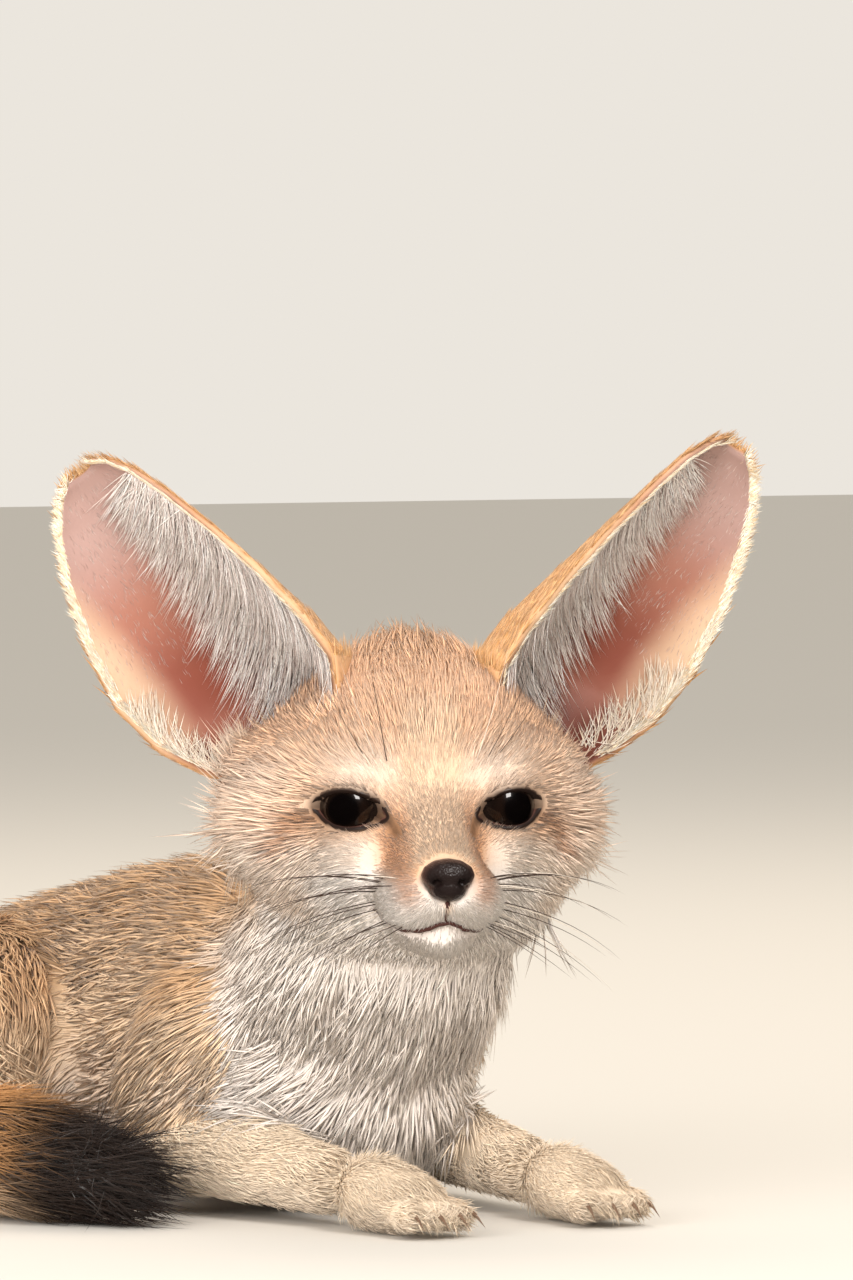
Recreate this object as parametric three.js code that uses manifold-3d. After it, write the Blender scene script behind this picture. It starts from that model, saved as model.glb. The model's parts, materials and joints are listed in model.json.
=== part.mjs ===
// A fennec fox at life size, lying on its belly with its head up, in millimetres.
// +Z is up. The trunk lies along Y with the chest towards -Y, the forelegs stretch forward along the
// floor and the hind legs are folded at its sides. The head is turned to the fox's right, towards -X,
// and the tail curls forward along that side. Every form is the outside of the coat.
// The origin is on the floor, under the middle of the animal.
import * as THREE from "three";
import { mergeVertices } from "three/addons/utils/BufferGeometryUtils.js";
import Module from "manifold-3d";

// Driving sizes
const EYE_MIDDLE = [-14, -104, 106];
const HEAD_TURN = -26;
const HEAD_PITCH = 3;
const EYE_SPACING = 37;
const EYE_RADIUS = 9;
const EYE_TURN = 24;
const LID_THICKNESS = 1.7;
const FISSURE_HALF_WIDTH = 7.9;
const EAR_LENGTH = 81;
const EAR_WALL = 2.6;
const EAR_TURN = 38;
const TAIL_CORE_SHARE = 0.6;
const GAP = 0.32;
const TOE_LENGTH = 7.1;
const TOE_HALF_WIDTH = 3.8;
const TOE_HALF_HEIGHT = 5.5;
const CLAW_LENGTH = 6.8;
const CLAW_RADIUS = 1.25;
const CLAW_DROP = 4.2;
const CHEEK_LOCK = { width: 15, thickness: 5, lift: 2.2, sink: 4 };
const BIB_LOCK = { width: 22, thickness: 6, lift: 3, sink: 5 };
const EAR_LOCK = { width: 12, thickness: 2, lift: 1.5, sink: 1.5 };
const TAIL_LOCK = { width: 23, thickness: 8, sink: 4 };
const TOE_PLACES = [-1.5, -0.5, 0.5, 1.5];
const TOE_STEP_BACK = 1.9;
const TOE_FAN = 0.09;
const TOE_HEIGHT = 5.6;
const FLOOR_CUT = 400;

const wasm = await Module();
wasm.setup();

const radians = THREE.MathUtils.degToRad;
const vec = (x, y, z) => new THREE.Vector3(x, y, z);
const EAR_BASE = vec(37, 23, 21);

// Solids: closed geometries that can be joined and cut

/** A closed three.js geometry as a solid, turned right side out. */
function solidOf(geometry, matrix = new THREE.Matrix4()) {
  const bare = new THREE.BufferGeometry();
  bare.setAttribute("position", geometry.getAttribute("position").clone());
  bare.setIndex(geometry.index);
  bare.applyMatrix4(matrix);
  const merged = mergeVertices(bare, 1e-4);
  const vertProperties = merged.getAttribute("position").array;
  const triVerts = new Uint32Array(merged.index.array);
  const made = new wasm.Manifold(new wasm.Mesh({ numProp: 3, vertProperties, triVerts }));
  if (made.volume() > 0) return made;
  triVerts.reverse();
  return new wasm.Manifold(new wasm.Mesh({ numProp: 3, vertProperties, triVerts }));
}

/** The solid's surface as a three.js geometry. */
function geometryOf(solid) {
  const { vertProperties, triVerts, numProp, numVert } = solid.getMesh();
  const position = new Float32Array(numVert * 3);
  for (let i = 0; i < numVert; i++) {
    position.set(vertProperties.subarray(i * numProp, i * numProp + 3), i * 3);
  }
  const geometry = new THREE.BufferGeometry();
  geometry.setAttribute("position", new THREE.BufferAttribute(position, 3));
  geometry.setIndex(new THREE.BufferAttribute(new Uint32Array(triVerts), 1));
  return geometry;
}

const join = (solids) => solids.reduce((all, one) => all.add(one));
const cut = (solid, ...others) => others.reduce((left, one) => left.subtract(one), solid);

/** The largest closed body of a solid. */
function largest(solid) {
  return solid.decompose().reduce((best, one) => (one.volume() > best.volume() ? one : best));
}

/** An ellipsoid, turned so that its own axes lie along the given ones. */
function ellipsoid(centre, radii, around = 12, along = 8, axes = [vec(1, 0, 0), vec(0, 1, 0), vec(0, 0, 1)]) {
  const matrix = new THREE.Matrix4().makeBasis(...axes).scale(radii).setPosition(centre);
  return solidOf(new THREE.SphereGeometry(1, around, along), matrix);
}

/** What lies under the floor. */
const underFloor = solidOf(
  new THREE.BoxGeometry(FLOOR_CUT * 2, FLOOR_CUT * 2, FLOOR_CUT).translate(0, 0, -FLOOR_CUT / 2),
);

// Drawn-out forms

/** A smooth function of one number through rows of [position, ...values]. */
function smooth(rows) {
  const size = rows[0].length - 1;
  const positions = rows.map((row) => row[0]);
  const values = rows.flatMap((row) => row.slice(1));
  const cubic = new THREE.CubicInterpolant(positions, values, size, new Float32Array(size));
  return (at) => Array.from(cubic.evaluate(at));
}

const through = (points) => new THREE.CatmullRomCurve3(points.map((p) => vec(...p)));

/** The point of a curve at a share of its length, with the ways on, to the side and up from it. */
function frameAt(curve, share) {
  const t = THREE.MathUtils.clamp(share, 0, 1);
  const tangent = curve.getTangentAt(t).normalize();
  const side = vec(0, 0, 1).cross(tangent).normalize();
  return { point: curve.getPointAt(t), tangent, side, up: tangent.clone().cross(side) };
}

/** Sections that close in a round cap over a share of the length at each end. */
function capped(rows, startCap, endCap) {
  const inner = smooth(rows);
  return (t) => {
    const near = 1 - Math.min(1, t / startCap);
    const far = 1 - Math.min(1, (1 - t) / endCap);
    const close = Math.sqrt(Math.max(0, 1 - near ** 2)) * Math.sqrt(Math.max(0, 1 - far ** 2));
    return inner(t).map((value) => value * close);
  };
}

/**
 * A trunk, limb or tail: a sphere's rings drawn out along a curve. sections gives half width and half
 * height at a share of the length. An end is a round cap, or flat where flat says so.
 */
function drawnOut(curve, sections, { around, along, grow = 0, from = 0, to = 1, flat = [false, false] }) {
  const sphere = new THREE.SphereGeometry(1, around, along);
  const position = sphere.getAttribute("position");
  const uv = sphere.getAttribute("uv");
  const first = flat[0] ? 1 : 0;
  const last = flat[1] ? along - 1 : along;
  for (let i = 0; i < position.count; i++) {
    const row = Math.round((1 - uv.getY(i)) * along);
    const even = THREE.MathUtils.clamp((row - first) / (last - first), 0, 1);
    const crowded = 0.5 - 0.5 * Math.cos(Math.PI * even);
    const share = THREE.MathUtils.lerp(even, crowded, flat[0] || flat[1] ? 0.3 : 0.7);
    const [halfWidth, halfHeight] = sections(from + (to - from) * share);
    const { point, tangent, side, up } = frameAt(curve, from + (to - from) * share);
    const pole = row === 0 || row === along;
    const turn = uv.getX(i) * 2 * Math.PI;
    const width = pole ? 0 : (halfWidth + grow) * Math.cos(turn);
    const height = pole ? 0 : (halfHeight + grow) * Math.sin(turn);
    point.addScaledVector(side, width).addScaledVector(up, height);
    point.addScaledVector(tangent, (share * 2 - 1) * grow);
    position.setXYZ(i, point.x, point.y, point.z);
  }
  return solidOf(sphere);
}

// Locks of hair

/** A seeded draw between -1 and 1. */
function draws(seed) {
  let state = seed;
  return () => {
    state = (state * 16807) % 2147483647;
    return (state / 2147483647) * 2 - 1;
  };
}

/**
 * A flat, tapered lock that bends as it leaves its root. place gives a point of its path, the way out
 * there and the way across, at a distance from the root. lift says how far the tip stands off.
 */
function lock(place, { length, width, thickness, lift, sink }) {
  const cone = new THREE.ConeGeometry(1, 1, 4, 2);
  const position = cone.getAttribute("position");
  for (let i = 0; i < position.count; i++) {
    const share = position.getY(i) + 0.5;
    const full = share > 0.99 ? 0 : (1 - share ** 2.2) / (1 - share) / 2;
    const reach = share * (length + sink) - sink;
    const rise = lift * Math.max(0, reach / length) ** 0.8 - sink * 0.5 * (1 - share);
    const { point, out, across } = place(reach);
    point.addScaledVector(across, position.getX(i) * width * full);
    point.addScaledVector(out, rise + position.getZ(i) * thickness * full);
    position.setXYZ(i, point.x, point.y, point.z);
  }
  return solidOf(cone);
}

/** The size of a lock of one kind, grown on every side. */
function grownLock(kind, length, grow) {
  const width = kind.width + 2 * grow;
  const thickness = kind.thickness + 3 * grow;
  return { ...kind, length: length + grow, width, thickness };
}

/** A straight path for a lock, from a place on a surface along its lie. */
function straight({ point, out }, lie) {
  const along = lie.clone().addScaledVector(out, -lie.dot(out)).normalize();
  const across = along.clone().cross(out).normalize();
  return (reach) => ({ point: point.clone().addScaledVector(along, reach), out, across });
}

// Fields: the head's form as smoothly joined masses, as a distance that is negative inside

/** The distance from a point to an ellipsoid. */
function ellipsoidField(p, { centre, radii }) {
  let share = 0;
  let steep = 0;
  for (let i = 0; i < 3; i++) {
    const part = (p[i] - centre[i]) / radii[i];
    share += part * part;
    steep += (part / radii[i]) ** 2;
  }
  const reach = Math.sqrt(share);
  return steep === 0 ? -Math.min(...radii) : (reach * (reach - 1)) / Math.sqrt(steep);
}

/** The distance from a point to a round cone between two spheres. */
function coneField(p, { back, tip, backRadius, tipRadius }) {
  const line = tip.map((value, i) => value - back[i]);
  const along = line.reduce((sum, value, i) => sum + value * (p[i] - back[i]), 0);
  const share = THREE.MathUtils.clamp(along / line.reduce((sum, value) => sum + value * value, 0), 0, 1);
  const apart = Math.hypot(...p.map((value, i) => value - back[i] - line[i] * share));
  return apart - THREE.MathUtils.lerp(backRadius, tipRadius, share);
}

/** Two distances joined with a fillet about as wide as blend. */
function blended(a, b, blend) {
  const near = Math.max(blend - Math.abs(a - b), 0) / blend;
  return Math.min(a, b) - near * near * blend * 0.25;
}

// The head, in its own frame: the origin is midway between the eyes, -Y is forward

const headMasses = [
  { name: "cranium", centre: [0, 26, 8], radii: [35, 27, 33], blend: 1 },
  { name: "forehead", centre: [0, 9, 13], radii: [24, 17, 20], blend: 10 },
  { name: "temple", centre: [20, 10.5, 6], radii: [17, 14, 13], blend: 8 },
  { name: "ear root", centre: [29, 27, 6], radii: [15, 14, 14], blend: 10 },
  { name: "cheek", centre: [24.5, 19, -8], radii: [22, 19, 21], blend: 10 },
  { name: "jowl", centre: [17, 17, -24], radii: [18.5, 19, 15], blend: 10 },
  { name: "throat", centre: [0, 19, -26], radii: [24, 23, 17], blend: 8 },
  { name: "jaw", centre: [0, 0, -26], radii: [15, 21, 10], blend: 8 },
  { name: "under the eye", centre: [15, 0, -13], radii: [12, 10, 11], blend: 8 },
  { name: "whisker pad", centre: [7.4, -22, -21], radii: [8.6, 12.5, 7.4], blend: 7 },
  { name: "chin", centre: [0, -18.5, -30], radii: [8.5, 13, 5.8], blend: 5 },
  { name: "brow", centre: [17, 1, 11], radii: [11, 7.5, 5], blend: 6 },
];
const bridge = { back: [0, -2, -4], tip: [0, -28.5, -15.5], backRadius: 12, tipRadius: 7.4, blend: 8 };

/** The head's distance at a point of its own frame. The two sides are alike. */
function headField(x, y, z) {
  const p = [Math.abs(x), y, z];
  const masses = headMasses.reduce((all, mass) => blended(all, ellipsoidField(p, mass), mass.blend), 1e3);
  return blended(masses, coneField(p, bridge), bridge.blend);
}

/** How far a ray from inside the head goes before it leaves it, grown by grow. */
function headReach(origin, direction, grow) {
  let far = 80;
  let value = 1;
  for (let i = 0; i < 60 && value > 0.01; i++) {
    const p = origin.clone().addScaledVector(direction, far);
    value = headField(p.x, p.y, p.z) - grow;
    far -= Math.max(value, 0) * 0.9;
  }
  return far;
}

/** The point of the head's surface nearest to a point close by, and the way out there. */
function onHead(x, y, z) {
  const p = vec(x, y, z);
  const out = vec(0, 0, 0);
  const step = 0.2;
  for (let i = 0; i < 8; i++) {
    const here = headField(p.x, p.y, p.z);
    const aside = headField(p.x + step, p.y, p.z);
    const behind = headField(p.x, p.y + step, p.z);
    out.set(aside, behind, headField(p.x, p.y, p.z + step));
    out.subScalar(here).normalize();
    p.addScaledVector(out, -here);
  }
  return { point: p, out };
}

/** Rings of rays from the nose's pole to the back's: where each starts on the middle plane, its lean. */
const headRings = smooth([
  [0, -22, -18, 0],
  [0.1, -22, -18, 35],
  [0.18, -21, -17.5, 62],
  [0.4, -8, -13, 66],
  [0.62, 6, -6, 68],
  [0.75, 18, 0, 84],
  [0.88, 26, 0, 125],
  [1, 28, 0, 180],
]);

/** A sphere whose faces are split the other way on its right half, so that the halves mirror. */
function mirroredSphere(around, along) {
  const sphere = new THREE.SphereGeometry(1, around, along);
  const position = sphere.getAttribute("position");
  const faces = [];
  const row = around + 1;
  for (let y = 0; y < along; y++) {
    for (let x = 0; x < around; x++) {
      const [b, a, c, d] = [y * row + x, y * row + x + 1, (y + 1) * row + x, (y + 1) * row + x + 1];
      const mirrored = position.getX(b) + position.getX(d) < 0;
      if (y === 0) faces.push(b, c, d);
      else if (y === along - 1) faces.push(a, b, d);
      else if (mirrored) faces.push(a, b, c, a, c, d);
      else faces.push(a, b, d, b, c, d);
    }
  }
  sphere.setIndex(faces);
  return sphere;
}

/** The head's flesh and coat, before eyes, mouth and nose are cut. */
function headForm(grow, around = 30, along = 31) {
  const sphere = mirroredSphere(around, along);
  const position = sphere.getAttribute("position");
  const uv = sphere.getAttribute("uv");
  for (let i = 0; i < position.count; i++) {
    const share = 1 - uv.getY(i);
    const [y, z, lean] = headRings(share);
    const turn = uv.getX(i) * 2 * Math.PI;
    const spread = share === 0 || share === 1 ? 0 : Math.sin(radians(lean));
    const forward = Math.cos(radians(lean));
    const direction = vec(Math.cos(turn) * spread, -forward, Math.sin(turn) * spread).normalize();
    const origin = vec(0, y, z);
    const p = origin.clone().addScaledVector(direction, headReach(origin, direction, grow));
    position.setXYZ(i, p.x, p.y, p.z);
  }
  return solidOf(sphere);
}

/** The ruff of the cheeks: rows of locks that lie back and down, and stand out from the face. */
function cheekRuff(grow = 0) {
  const draw = draws(5);
  const locks = [];
  for (const side of [-1, 1]) {
    for (const row of [0, 1]) {
      for (let i = 0; i < 4; i++) {
        const turn = radians(20 - 29 * (i + row / 2) + 4 * draw());
        const root = onHead(side * (22 + 24 * Math.cos(turn)), 11 + row * 11, -9 + 30 * Math.sin(turn));
        const lie = vec(side * (0.3 + 0.4 * Math.cos(turn)), 0.6, -0.65 + 0.5 * Math.sin(turn));
        const length = 16 + 2.5 * draw();
        locks.push(lock(straight(root, lie), grownLock(CHEEK_LOCK, length, grow)));
      }
    }
  }
  return join(locks);
}

const eyeCentre = (side) => vec((side * EYE_SPACING) / 2, 1, 0);

/** The almond between the lids, drawn along the eye's axis. side is 1 for the left eye. */
function fissure(side) {
  const w = FISSURE_HALF_WIDTH;
  const shape = new THREE.Shape();
  shape.moveTo(-w - 1.6, -1.2);
  shape.bezierCurveTo(-w * 0.6, 4.6, w * 0.35, 5.6, w, 0.6);
  shape.bezierCurveTo(w * 0.55, -4.6, -w * 0.3, -6.0, -w - 1.6, -1.2);
  const almond = new THREE.ExtrudeGeometry(shape, { depth: 24, bevelEnabled: false, curveSegments: 7 });
  const axis = new THREE.Euler(radians(90), 0, radians(side * EYE_TURN), "ZXY");
  const matrix = new THREE.Matrix4().makeRotationFromEuler(axis).setPosition(eyeCentre(side));
  return solidOf(almond, matrix.multiply(new THREE.Matrix4().makeScale(side, 1, 1)));
}

/** A thin body along a line through points close to the head's surface, to be cut as a groove. */
function groove(points, radius, steps) {
  const corners = [[-radius, 0], [0, -radius], [radius, 0], [0, radius]];
  const section = new THREE.Shape(corners.map((corner) => new THREE.Vector2(...corner)));
  const path = new THREE.CatmullRomCurve3(points.map((p) => onHead(...p).point));
  return solidOf(new THREE.ExtrudeGeometry(section, { steps, extrudePath: path, bevelEnabled: false }));
}

const noseCentre = vec(0, -34.5, -14.6);

/** The nose leather: a broad pad over a narrower front. */
function noseForm(grow) {
  return join([
    ellipsoid(noseCentre.clone().add(vec(0, 0, 1)), vec(6.9 + grow, 4.6 + grow, 4.3 + grow), 12, 7),
    ellipsoid(noseCentre.clone().add(vec(0, -0.6, -1.8)), vec(5 + grow, 3.9 + grow, 3.8 + grow), 10, 6),
  ]);
}

/** Each nostril: a round hole with a slit that runs out to the side. */
const nostrils = [-1, 1].flatMap((side) => [
  ellipsoid(noseCentre.clone().add(vec(side * 3.1, -4, -0.6)), vec(1.5, 2.4, 1.25), 6, 4),
  ellipsoid(noseCentre.clone().add(vec(side * 5.2, -2.7, -1.6)), vec(2.2, 2.2, 0.75), 6, 4),
]);

// The ears, in the head's frame: a deep cup that opens forward and out, drawn from rim to rim

/** Half width between the rims, depth of the cup and bend to the outside, from the root to the tip. */
const earSections = smooth([
  [-0.24, 8, 14, -1],
  [-0.12, 16, 21, -1],
  [0, 23, 24, 0],
  [0.15, 26.5, 24, 3.5],
  [0.35, 27, 20, 6.6],
  [0.55, 24, 15, 7.6],
  [0.75, 18.6, 10, 7.4],
  [0.88, 13.6, 7, 6.6],
  [0.96, 8.6, 4.4, 5.8],
  [1, 4, 2.4, 5.4],
]);
const EAR_ROOT_SHARE = -0.24;

/** One ear: its base and axis, the way it opens, and the way out to its outer rim. */
function earFrame(side, back, spread) {
  const base = EAR_BASE.clone().multiply(vec(side, 1, 1));
  const aside = side * Math.sin(radians(spread));
  const axis = vec(aside, Math.sin(radians(back)), Math.cos(radians(spread))).normalize();
  const open = vec(side * Math.sin(radians(EAR_TURN)), -Math.cos(radians(EAR_TURN)), 0);
  open.addScaledVector(axis, -open.dot(axis)).normalize();
  const outward = axis.clone().cross(open).multiplyScalar(side).normalize();
  return { side, base, axis, open, outward };
}

const leftEar = earFrame(1, 4, 32);
const rightEar = earFrame(-1, 27, 33);

/** A point of the ear: share of its length, across from -1 at the inner rim to 1, depth in the wall. */
function earPoint(ear, share, across, depth) {
  const [half, deep, bend] = earSections(share);
  const radius = (half * half + deep * deep) / (2 * deep);
  const turn = across * 2 * Math.atan(deep / half);
  return ear.base
    .clone()
    .addScaledVector(ear.axis, share * EAR_LENGTH)
    .addScaledVector(ear.outward, Math.sin(turn) * (radius + depth) + bend)
    .addScaledVector(ear.open, radius - deep - Math.cos(turn) * (radius + depth));
}

/** The ear's wall, with the small pouch on the lower part of its outer rim. */
function earForm(ear) {
  const sheet = new THREE.BoxGeometry(2, 1, 1, 8, 11, 1);
  const position = sheet.getAttribute("position");
  for (let i = 0; i < position.count; i++) {
    const share = THREE.MathUtils.lerp(EAR_ROOT_SHARE, 1, position.getY(i) + 0.5);
    const wall = EAR_WALL * (1 - 0.3 * Math.max(0, share));
    const p = earPoint(ear, share, position.getX(i), position.getZ(i) < 0 ? wall : 0);
    position.setXYZ(i, p.x, p.y, p.z);
  }
  const axes = [ear.outward, ear.open, ear.outward.clone().cross(ear.open)];
  const pouchAt = earPoint(ear, 0.1, 0.95, EAR_WALL / 2);
  const lobe = ellipsoid(pouchAt, vec(5.5, 4, 9.5), 12, 8, axes);
  const pocket = ellipsoid(pouchAt.clone().addScaledVector(ear.open, 3), vec(3.4, 3.4, 6.6), 10, 6, axes);
  return cut(join([solidOf(sheet), lobe]), pocket);
}

/** The fringe in an ear: locks from the inner rim that lie across the cup, longest half way up. */
function earFringe(ear) {
  const draw = draws(ear.side > 0 ? 71 : 37);
  const locks = [];
  for (let share = 0.05; share < 0.66; share += 0.1) {
    const point = earPoint(ear, share, -0.84, EAR_WALL * 0.3);
    const lie = ear.outward.clone().addScaledVector(ear.open, -0.35);
    lie.addScaledVector(ear.axis, -0.25 + 0.15 * draw());
    const length = 15 + 12 * Math.sin(Math.PI * (share * 0.9 + 0.25)) + 2 * draw();
    locks.push(lock(straight({ point, out: ear.open }, lie), { ...EAR_LOCK, length }));
  }
  return join(locks);
}

// The trunk and neck

const trunkCurve = through([
  [0, -80, 38],
  [0, -56, 42],
  [0, -24, 45],
  [0, 12, 44],
  [0, 46, 41],
  [0, 80, 37],
  [0, 116, 32],
]);
const trunkSections = capped(
  [
    [0, 31, 33],
    [0.14, 38, 41],
    [0.3, 41, 46],
    [0.48, 37, 45.5],
    [0.66, 38, 42.5],
    [0.84, 38, 39],
    [1, 31, 33],
  ],
  0.13,
  0.14,
);
const neckCurve = through([
  [0, -34, 46],
  [0, -56, 62],
  [-3, -74, 80],
  [-6, -86, 96],
]);
const neckSections = capped(
  [
    [0, 36, 34],
    [0.4, 37, 34],
    [0.75, 35, 32],
    [1, 30, 28],
  ],
  0.25,
  0.15,
);

/** The bib under the throat: rows of locks round the front of the neck that hang over the chest. */
function bib(grow = 0) {
  const draw = draws(19);
  const locks = [];
  for (const row of [0, 1]) {
    for (let i = 0; i < 5; i++) {
      const t = 0.3 + 0.2 * row;
      const turn = radians(-90 + 38 * (i - 2) + 19 * row - 9 + 5 * draw());
      const { point, tangent, side, up } = frameAt(neckCurve, t);
      const [halfWidth, halfHeight] = neckSections(t);
      const out = side.clone().multiplyScalar(Math.cos(turn)).addScaledVector(up, Math.sin(turn));
      const round = side.clone().multiplyScalar(Math.cos(turn) * halfWidth);
      const root = point.clone().add(round).addScaledVector(up, Math.sin(turn) * halfHeight);
      const lie = tangent.clone().negate().add(vec(0, 0, -0.4));
      const length = 20 + 3 * draw();
      locks.push(lock(straight({ point: root, out }, lie), grownLock(BIB_LOCK, length, grow)));
    }
  }
  return join(locks);
}

// Legs and feet. side is 1 for the fox's left and -1 for its right.

const legs = {
  fore: { shoulder: [25, -50, 58], elbow: [41, -12, 18], wrist: [29, -92, 11], toes: [27, -124, 7] },
  hind: { hip: [26, 92, 44], knee: [52, 28, 28], hock: [55, 100, 14], heel: [56, 96, 9], toes: [57, 20, 7] },
};
const joint = (side, [x, y, z]) => [side * x, y, z];

const upperArmSections = capped([[0, 18, 25], [0.5, 17, 22], [1, 13, 15]], 0.35, 0.3);
const forearmSections = capped([[0, 12, 13], [0.3, 11.5, 12], [0.75, 9.5, 10], [1, 9.8, 10]], 0.16, 0.12);
const pawSections = capped([[0, 9.8, 10], [0.5, 11.5, 9.6], [1, 11, 8]], 0.25, 0.3);
const thighSections = capped([[0, 27, 34], [0.4, 27, 35], [0.8, 21, 30], [1, 16, 24]], 0.36, 0.34);
const shankSections = capped([[0, 13, 16], [0.5, 12, 13], [1, 9, 10]], 0.3, 0.2);
const footSections = capped([[0, 8.6, 9.5], [0.5, 8.6, 9], [0.8, 10, 9], [1, 10.5, 8]], 0.14, 0.16);

/** A length of a leg between two joints. */
function legLength(a, b, sections, options) {
  const middle = a.map((value, i) => (value + b[i]) / 2);
  return drawnOut(through([a, middle, b]), sections, options);
}

/** Four toes in a shallow arc across the end of a foot: the middle of each, and the way it points. */
function toesOf(from, to, spread, length) {
  const ahead = vec(...to).sub(vec(...from)).setZ(0).normalize();
  const across = ahead.clone().cross(vec(0, 0, 1));
  return TOE_PLACES.map((place) => {
    const centre = vec(...to).addScaledVector(across, place * spread);
    centre.addScaledVector(ahead, length - Math.abs(place) * TOE_STEP_BACK).setZ(TOE_HEIGHT);
    return { centre, point: ahead.clone().addScaledVector(across, place * TOE_FAN).normalize() };
  });
}

/** A foot: its length along the floor, with four toes at its end. */
function footForm(a, b, sections, toes, grow) {
  const length = legLength(a, b, sections, { around: 10, along: 7, grow });
  const rounds = toes.map(({ centre, point }) => {
    const axes = [point.clone().cross(vec(0, 0, 1)), point, vec(0, 0, 1)];
    const radii = vec(TOE_HALF_WIDTH, TOE_LENGTH, TOE_HALF_HEIGHT).addScalar(grow);
    return ellipsoid(centre, radii, 6, 4, axes);
  });
  return join([length, ...rounds]);
}

/** A claw: a small cone that curves down from the end of its toe. */
function clawForm({ centre, point }) {
  const cone = new THREE.ConeGeometry(CLAW_RADIUS, 1, 4, 2);
  const position = cone.getAttribute("position");
  const side = point.clone().cross(vec(0, 0, 1));
  for (let i = 0; i < position.count; i++) {
    const share = position.getY(i) + 0.5;
    const p = centre.clone().addScaledVector(point, 4.5 + share * CLAW_LENGTH);
    p.addScaledVector(side, position.getX(i) * 0.8);
    p.z += position.getZ(i) + 1 - CLAW_DROP * share * share;
    position.setXYZ(i, p.x, p.y, p.z);
  }
  return solidOf(cone);
}

// The tail, in lengths that meet face to face

const tailCurve = through([
  [0, 112, 38],
  [-10, 134, 25],
  [-38, 143, 19],
  [-70, 130, 18.5],
  [-90, 98, 19],
  [-97, 58, 19.5],
  [-95, 16, 19],
  [-86, -22, 17],
  [-72, -52, 11],
]);
const brushSections = capped(
  [
    [0, 12, 12],
    [0.2, 15.5, 15.5],
    [0.45, 19, 19],
    [0.7, 20, 20],
    [0.86, 17, 17],
    [1, 9, 9],
  ],
  0.04,
  0.16,
);
const coreSections = (t) => brushSections(t).map((radius) => radius * TAIL_CORE_SHARE);
const TAIL_LOCKS_AROUND = 5;
const TAIL_LOCK_SPACING = 38;
const tailSpan = tailCurve.getLength();

/** A path for a lock that follows the tail from a share of its length, at a turn round it. */
function alongTail(share, turn, core) {
  return (reach) => {
    const at = share + reach / tailSpan;
    const { point, tangent, side, up } = frameAt(tailCurve, at);
    const out = side.clone().multiplyScalar(Math.cos(turn)).addScaledVector(up, Math.sin(turn));
    const past = Math.max(0, at - 1) * tailSpan;
    point.addScaledVector(out, core).addScaledVector(tangent, past);
    return { point, out, across: tangent.clone().cross(out) };
  };
}

/** The brush over a stretch of the tail: rings of locks that lie back towards the tip. */
function brush(from, to) {
  const draw = draws(Math.round(from * 1000) + 11);
  const rings = Math.max(1, Math.round(((to - from) * tailSpan) / TAIL_LOCK_SPACING));
  const locks = [];
  for (let ring = 0; ring < rings; ring++) {
    const share = from + ((ring + 0.2) / rings) * (to - from);
    const core = coreSections(share)[0] * 0.9;
    for (let i = 0; i < TAIL_LOCKS_AROUND; i++) {
      const turn = ((i + (ring % 2) / 2) / TAIL_LOCKS_AROUND) * 2 * Math.PI + 0.15 * draw();
      const length = Math.min(50 + 4 * draw(), (1.02 - share) * tailSpan);
      const full = brushSections(Math.min(0.94, share + (0.7 * length) / tailSpan))[0];
      const size = { ...TAIL_LOCK, length, lift: Math.max(1, full - core) };
      locks.push(lock(alongTail(share, turn, core), size));
    }
  }
  return join(locks);
}

/** A block past the flat end of a length of the tail, ahead of it or behind it. */
function endBlock(share, ahead) {
  const { point, tangent, side, up } = frameAt(tailCurve, share);
  const size = 70;
  const middle = point.addScaledVector(tangent, ahead * (size / 2 - GAP / 2));
  const matrix = new THREE.Matrix4().makeBasis(side, tangent, up.clone().negate()).setPosition(middle);
  return solidOf(new THREE.BoxGeometry(size, size, size), matrix);
}

const tailLengths = [
  { name: "tail_root", from: 0, to: 0.17, flat: [false, true] },
  { name: "tail_bend", from: 0.17, to: 0.4, flat: [true, true] },
  { name: "tail_middle", from: 0.4, to: 0.7, flat: [true, true] },
  { name: "tail_tip", from: 0.7, to: 1, flat: [true, false] },
];

// Colours and finishes

/** A dull or shining material of one colour. */
const finish = (color, roughness) => new THREE.MeshStandardMaterial({ color, roughness, metalness: 0 });
const coat = finish(0xe3bd8c, 0.9);
const paleCoat = finish(0xf0dcc0, 0.9);
const tailCoat = finish(0xc98f55, 0.9);
const tailTipCoat = finish(0x3a2a20, 0.9);
const leather = finish(0x2b2023, 0.45);
const eyeball = finish(0x150f0d, 0.06);
const horn = finish(0x4a3a2e, 0.5);

// Building, cutting and naming

const root = new THREE.Group();
const headGroup = new THREE.Group();
headGroup.position.set(...EYE_MIDDLE);
headGroup.rotation.set(radians(HEAD_PITCH), 0, radians(HEAD_TURN), "ZXY");
root.add(headGroup);
headGroup.updateMatrix();

/** Adds a named node to a group. */
function addNode(group, name, solid, material) {
  const mesh = new THREE.Mesh(geometryOf(largest(solid)), material);
  mesh.name = name;
  group.add(mesh);
}

// Head, eyes, nose and ears, in the head's frame
const headGrown = headForm(GAP);
const lipHalf = [[15.5, -10, -25], [13, -20, -27.5], [8.6, -28, -28.6], [4, -32, -27.6]];
const mirroredLip = lipHalf.map(([x, y, z]) => [-x, y, z]);
const lipLine = groove([...mirroredLip, [0, -33, -26.4], ...lipHalf.reverse()], 0.8, 13);
const philtrum = groove([[0, -36, -18], [0, -35, -22], [0, -33.5, -26.4]], 0.6, 3);
const headAndRuff = join([headGrown, cheekRuff(GAP)]);
const sides = [["right", -1], ["left", 1]];
const lidSize = vec(1, 1, 1).multiplyScalar(EYE_RADIUS + LID_THICKNESS);
const socketSize = vec(1, 1, 1).multiplyScalar(EYE_RADIUS + GAP);
const lids = sides.map(([, side]) => ellipsoid(eyeCentre(side), lidSize, 16, 10));
const sockets = sides.map(([, side]) => ellipsoid(eyeCentre(side), socketSize, 14, 9));
const fissures = sides.map(([, side]) => fissure(side));
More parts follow.
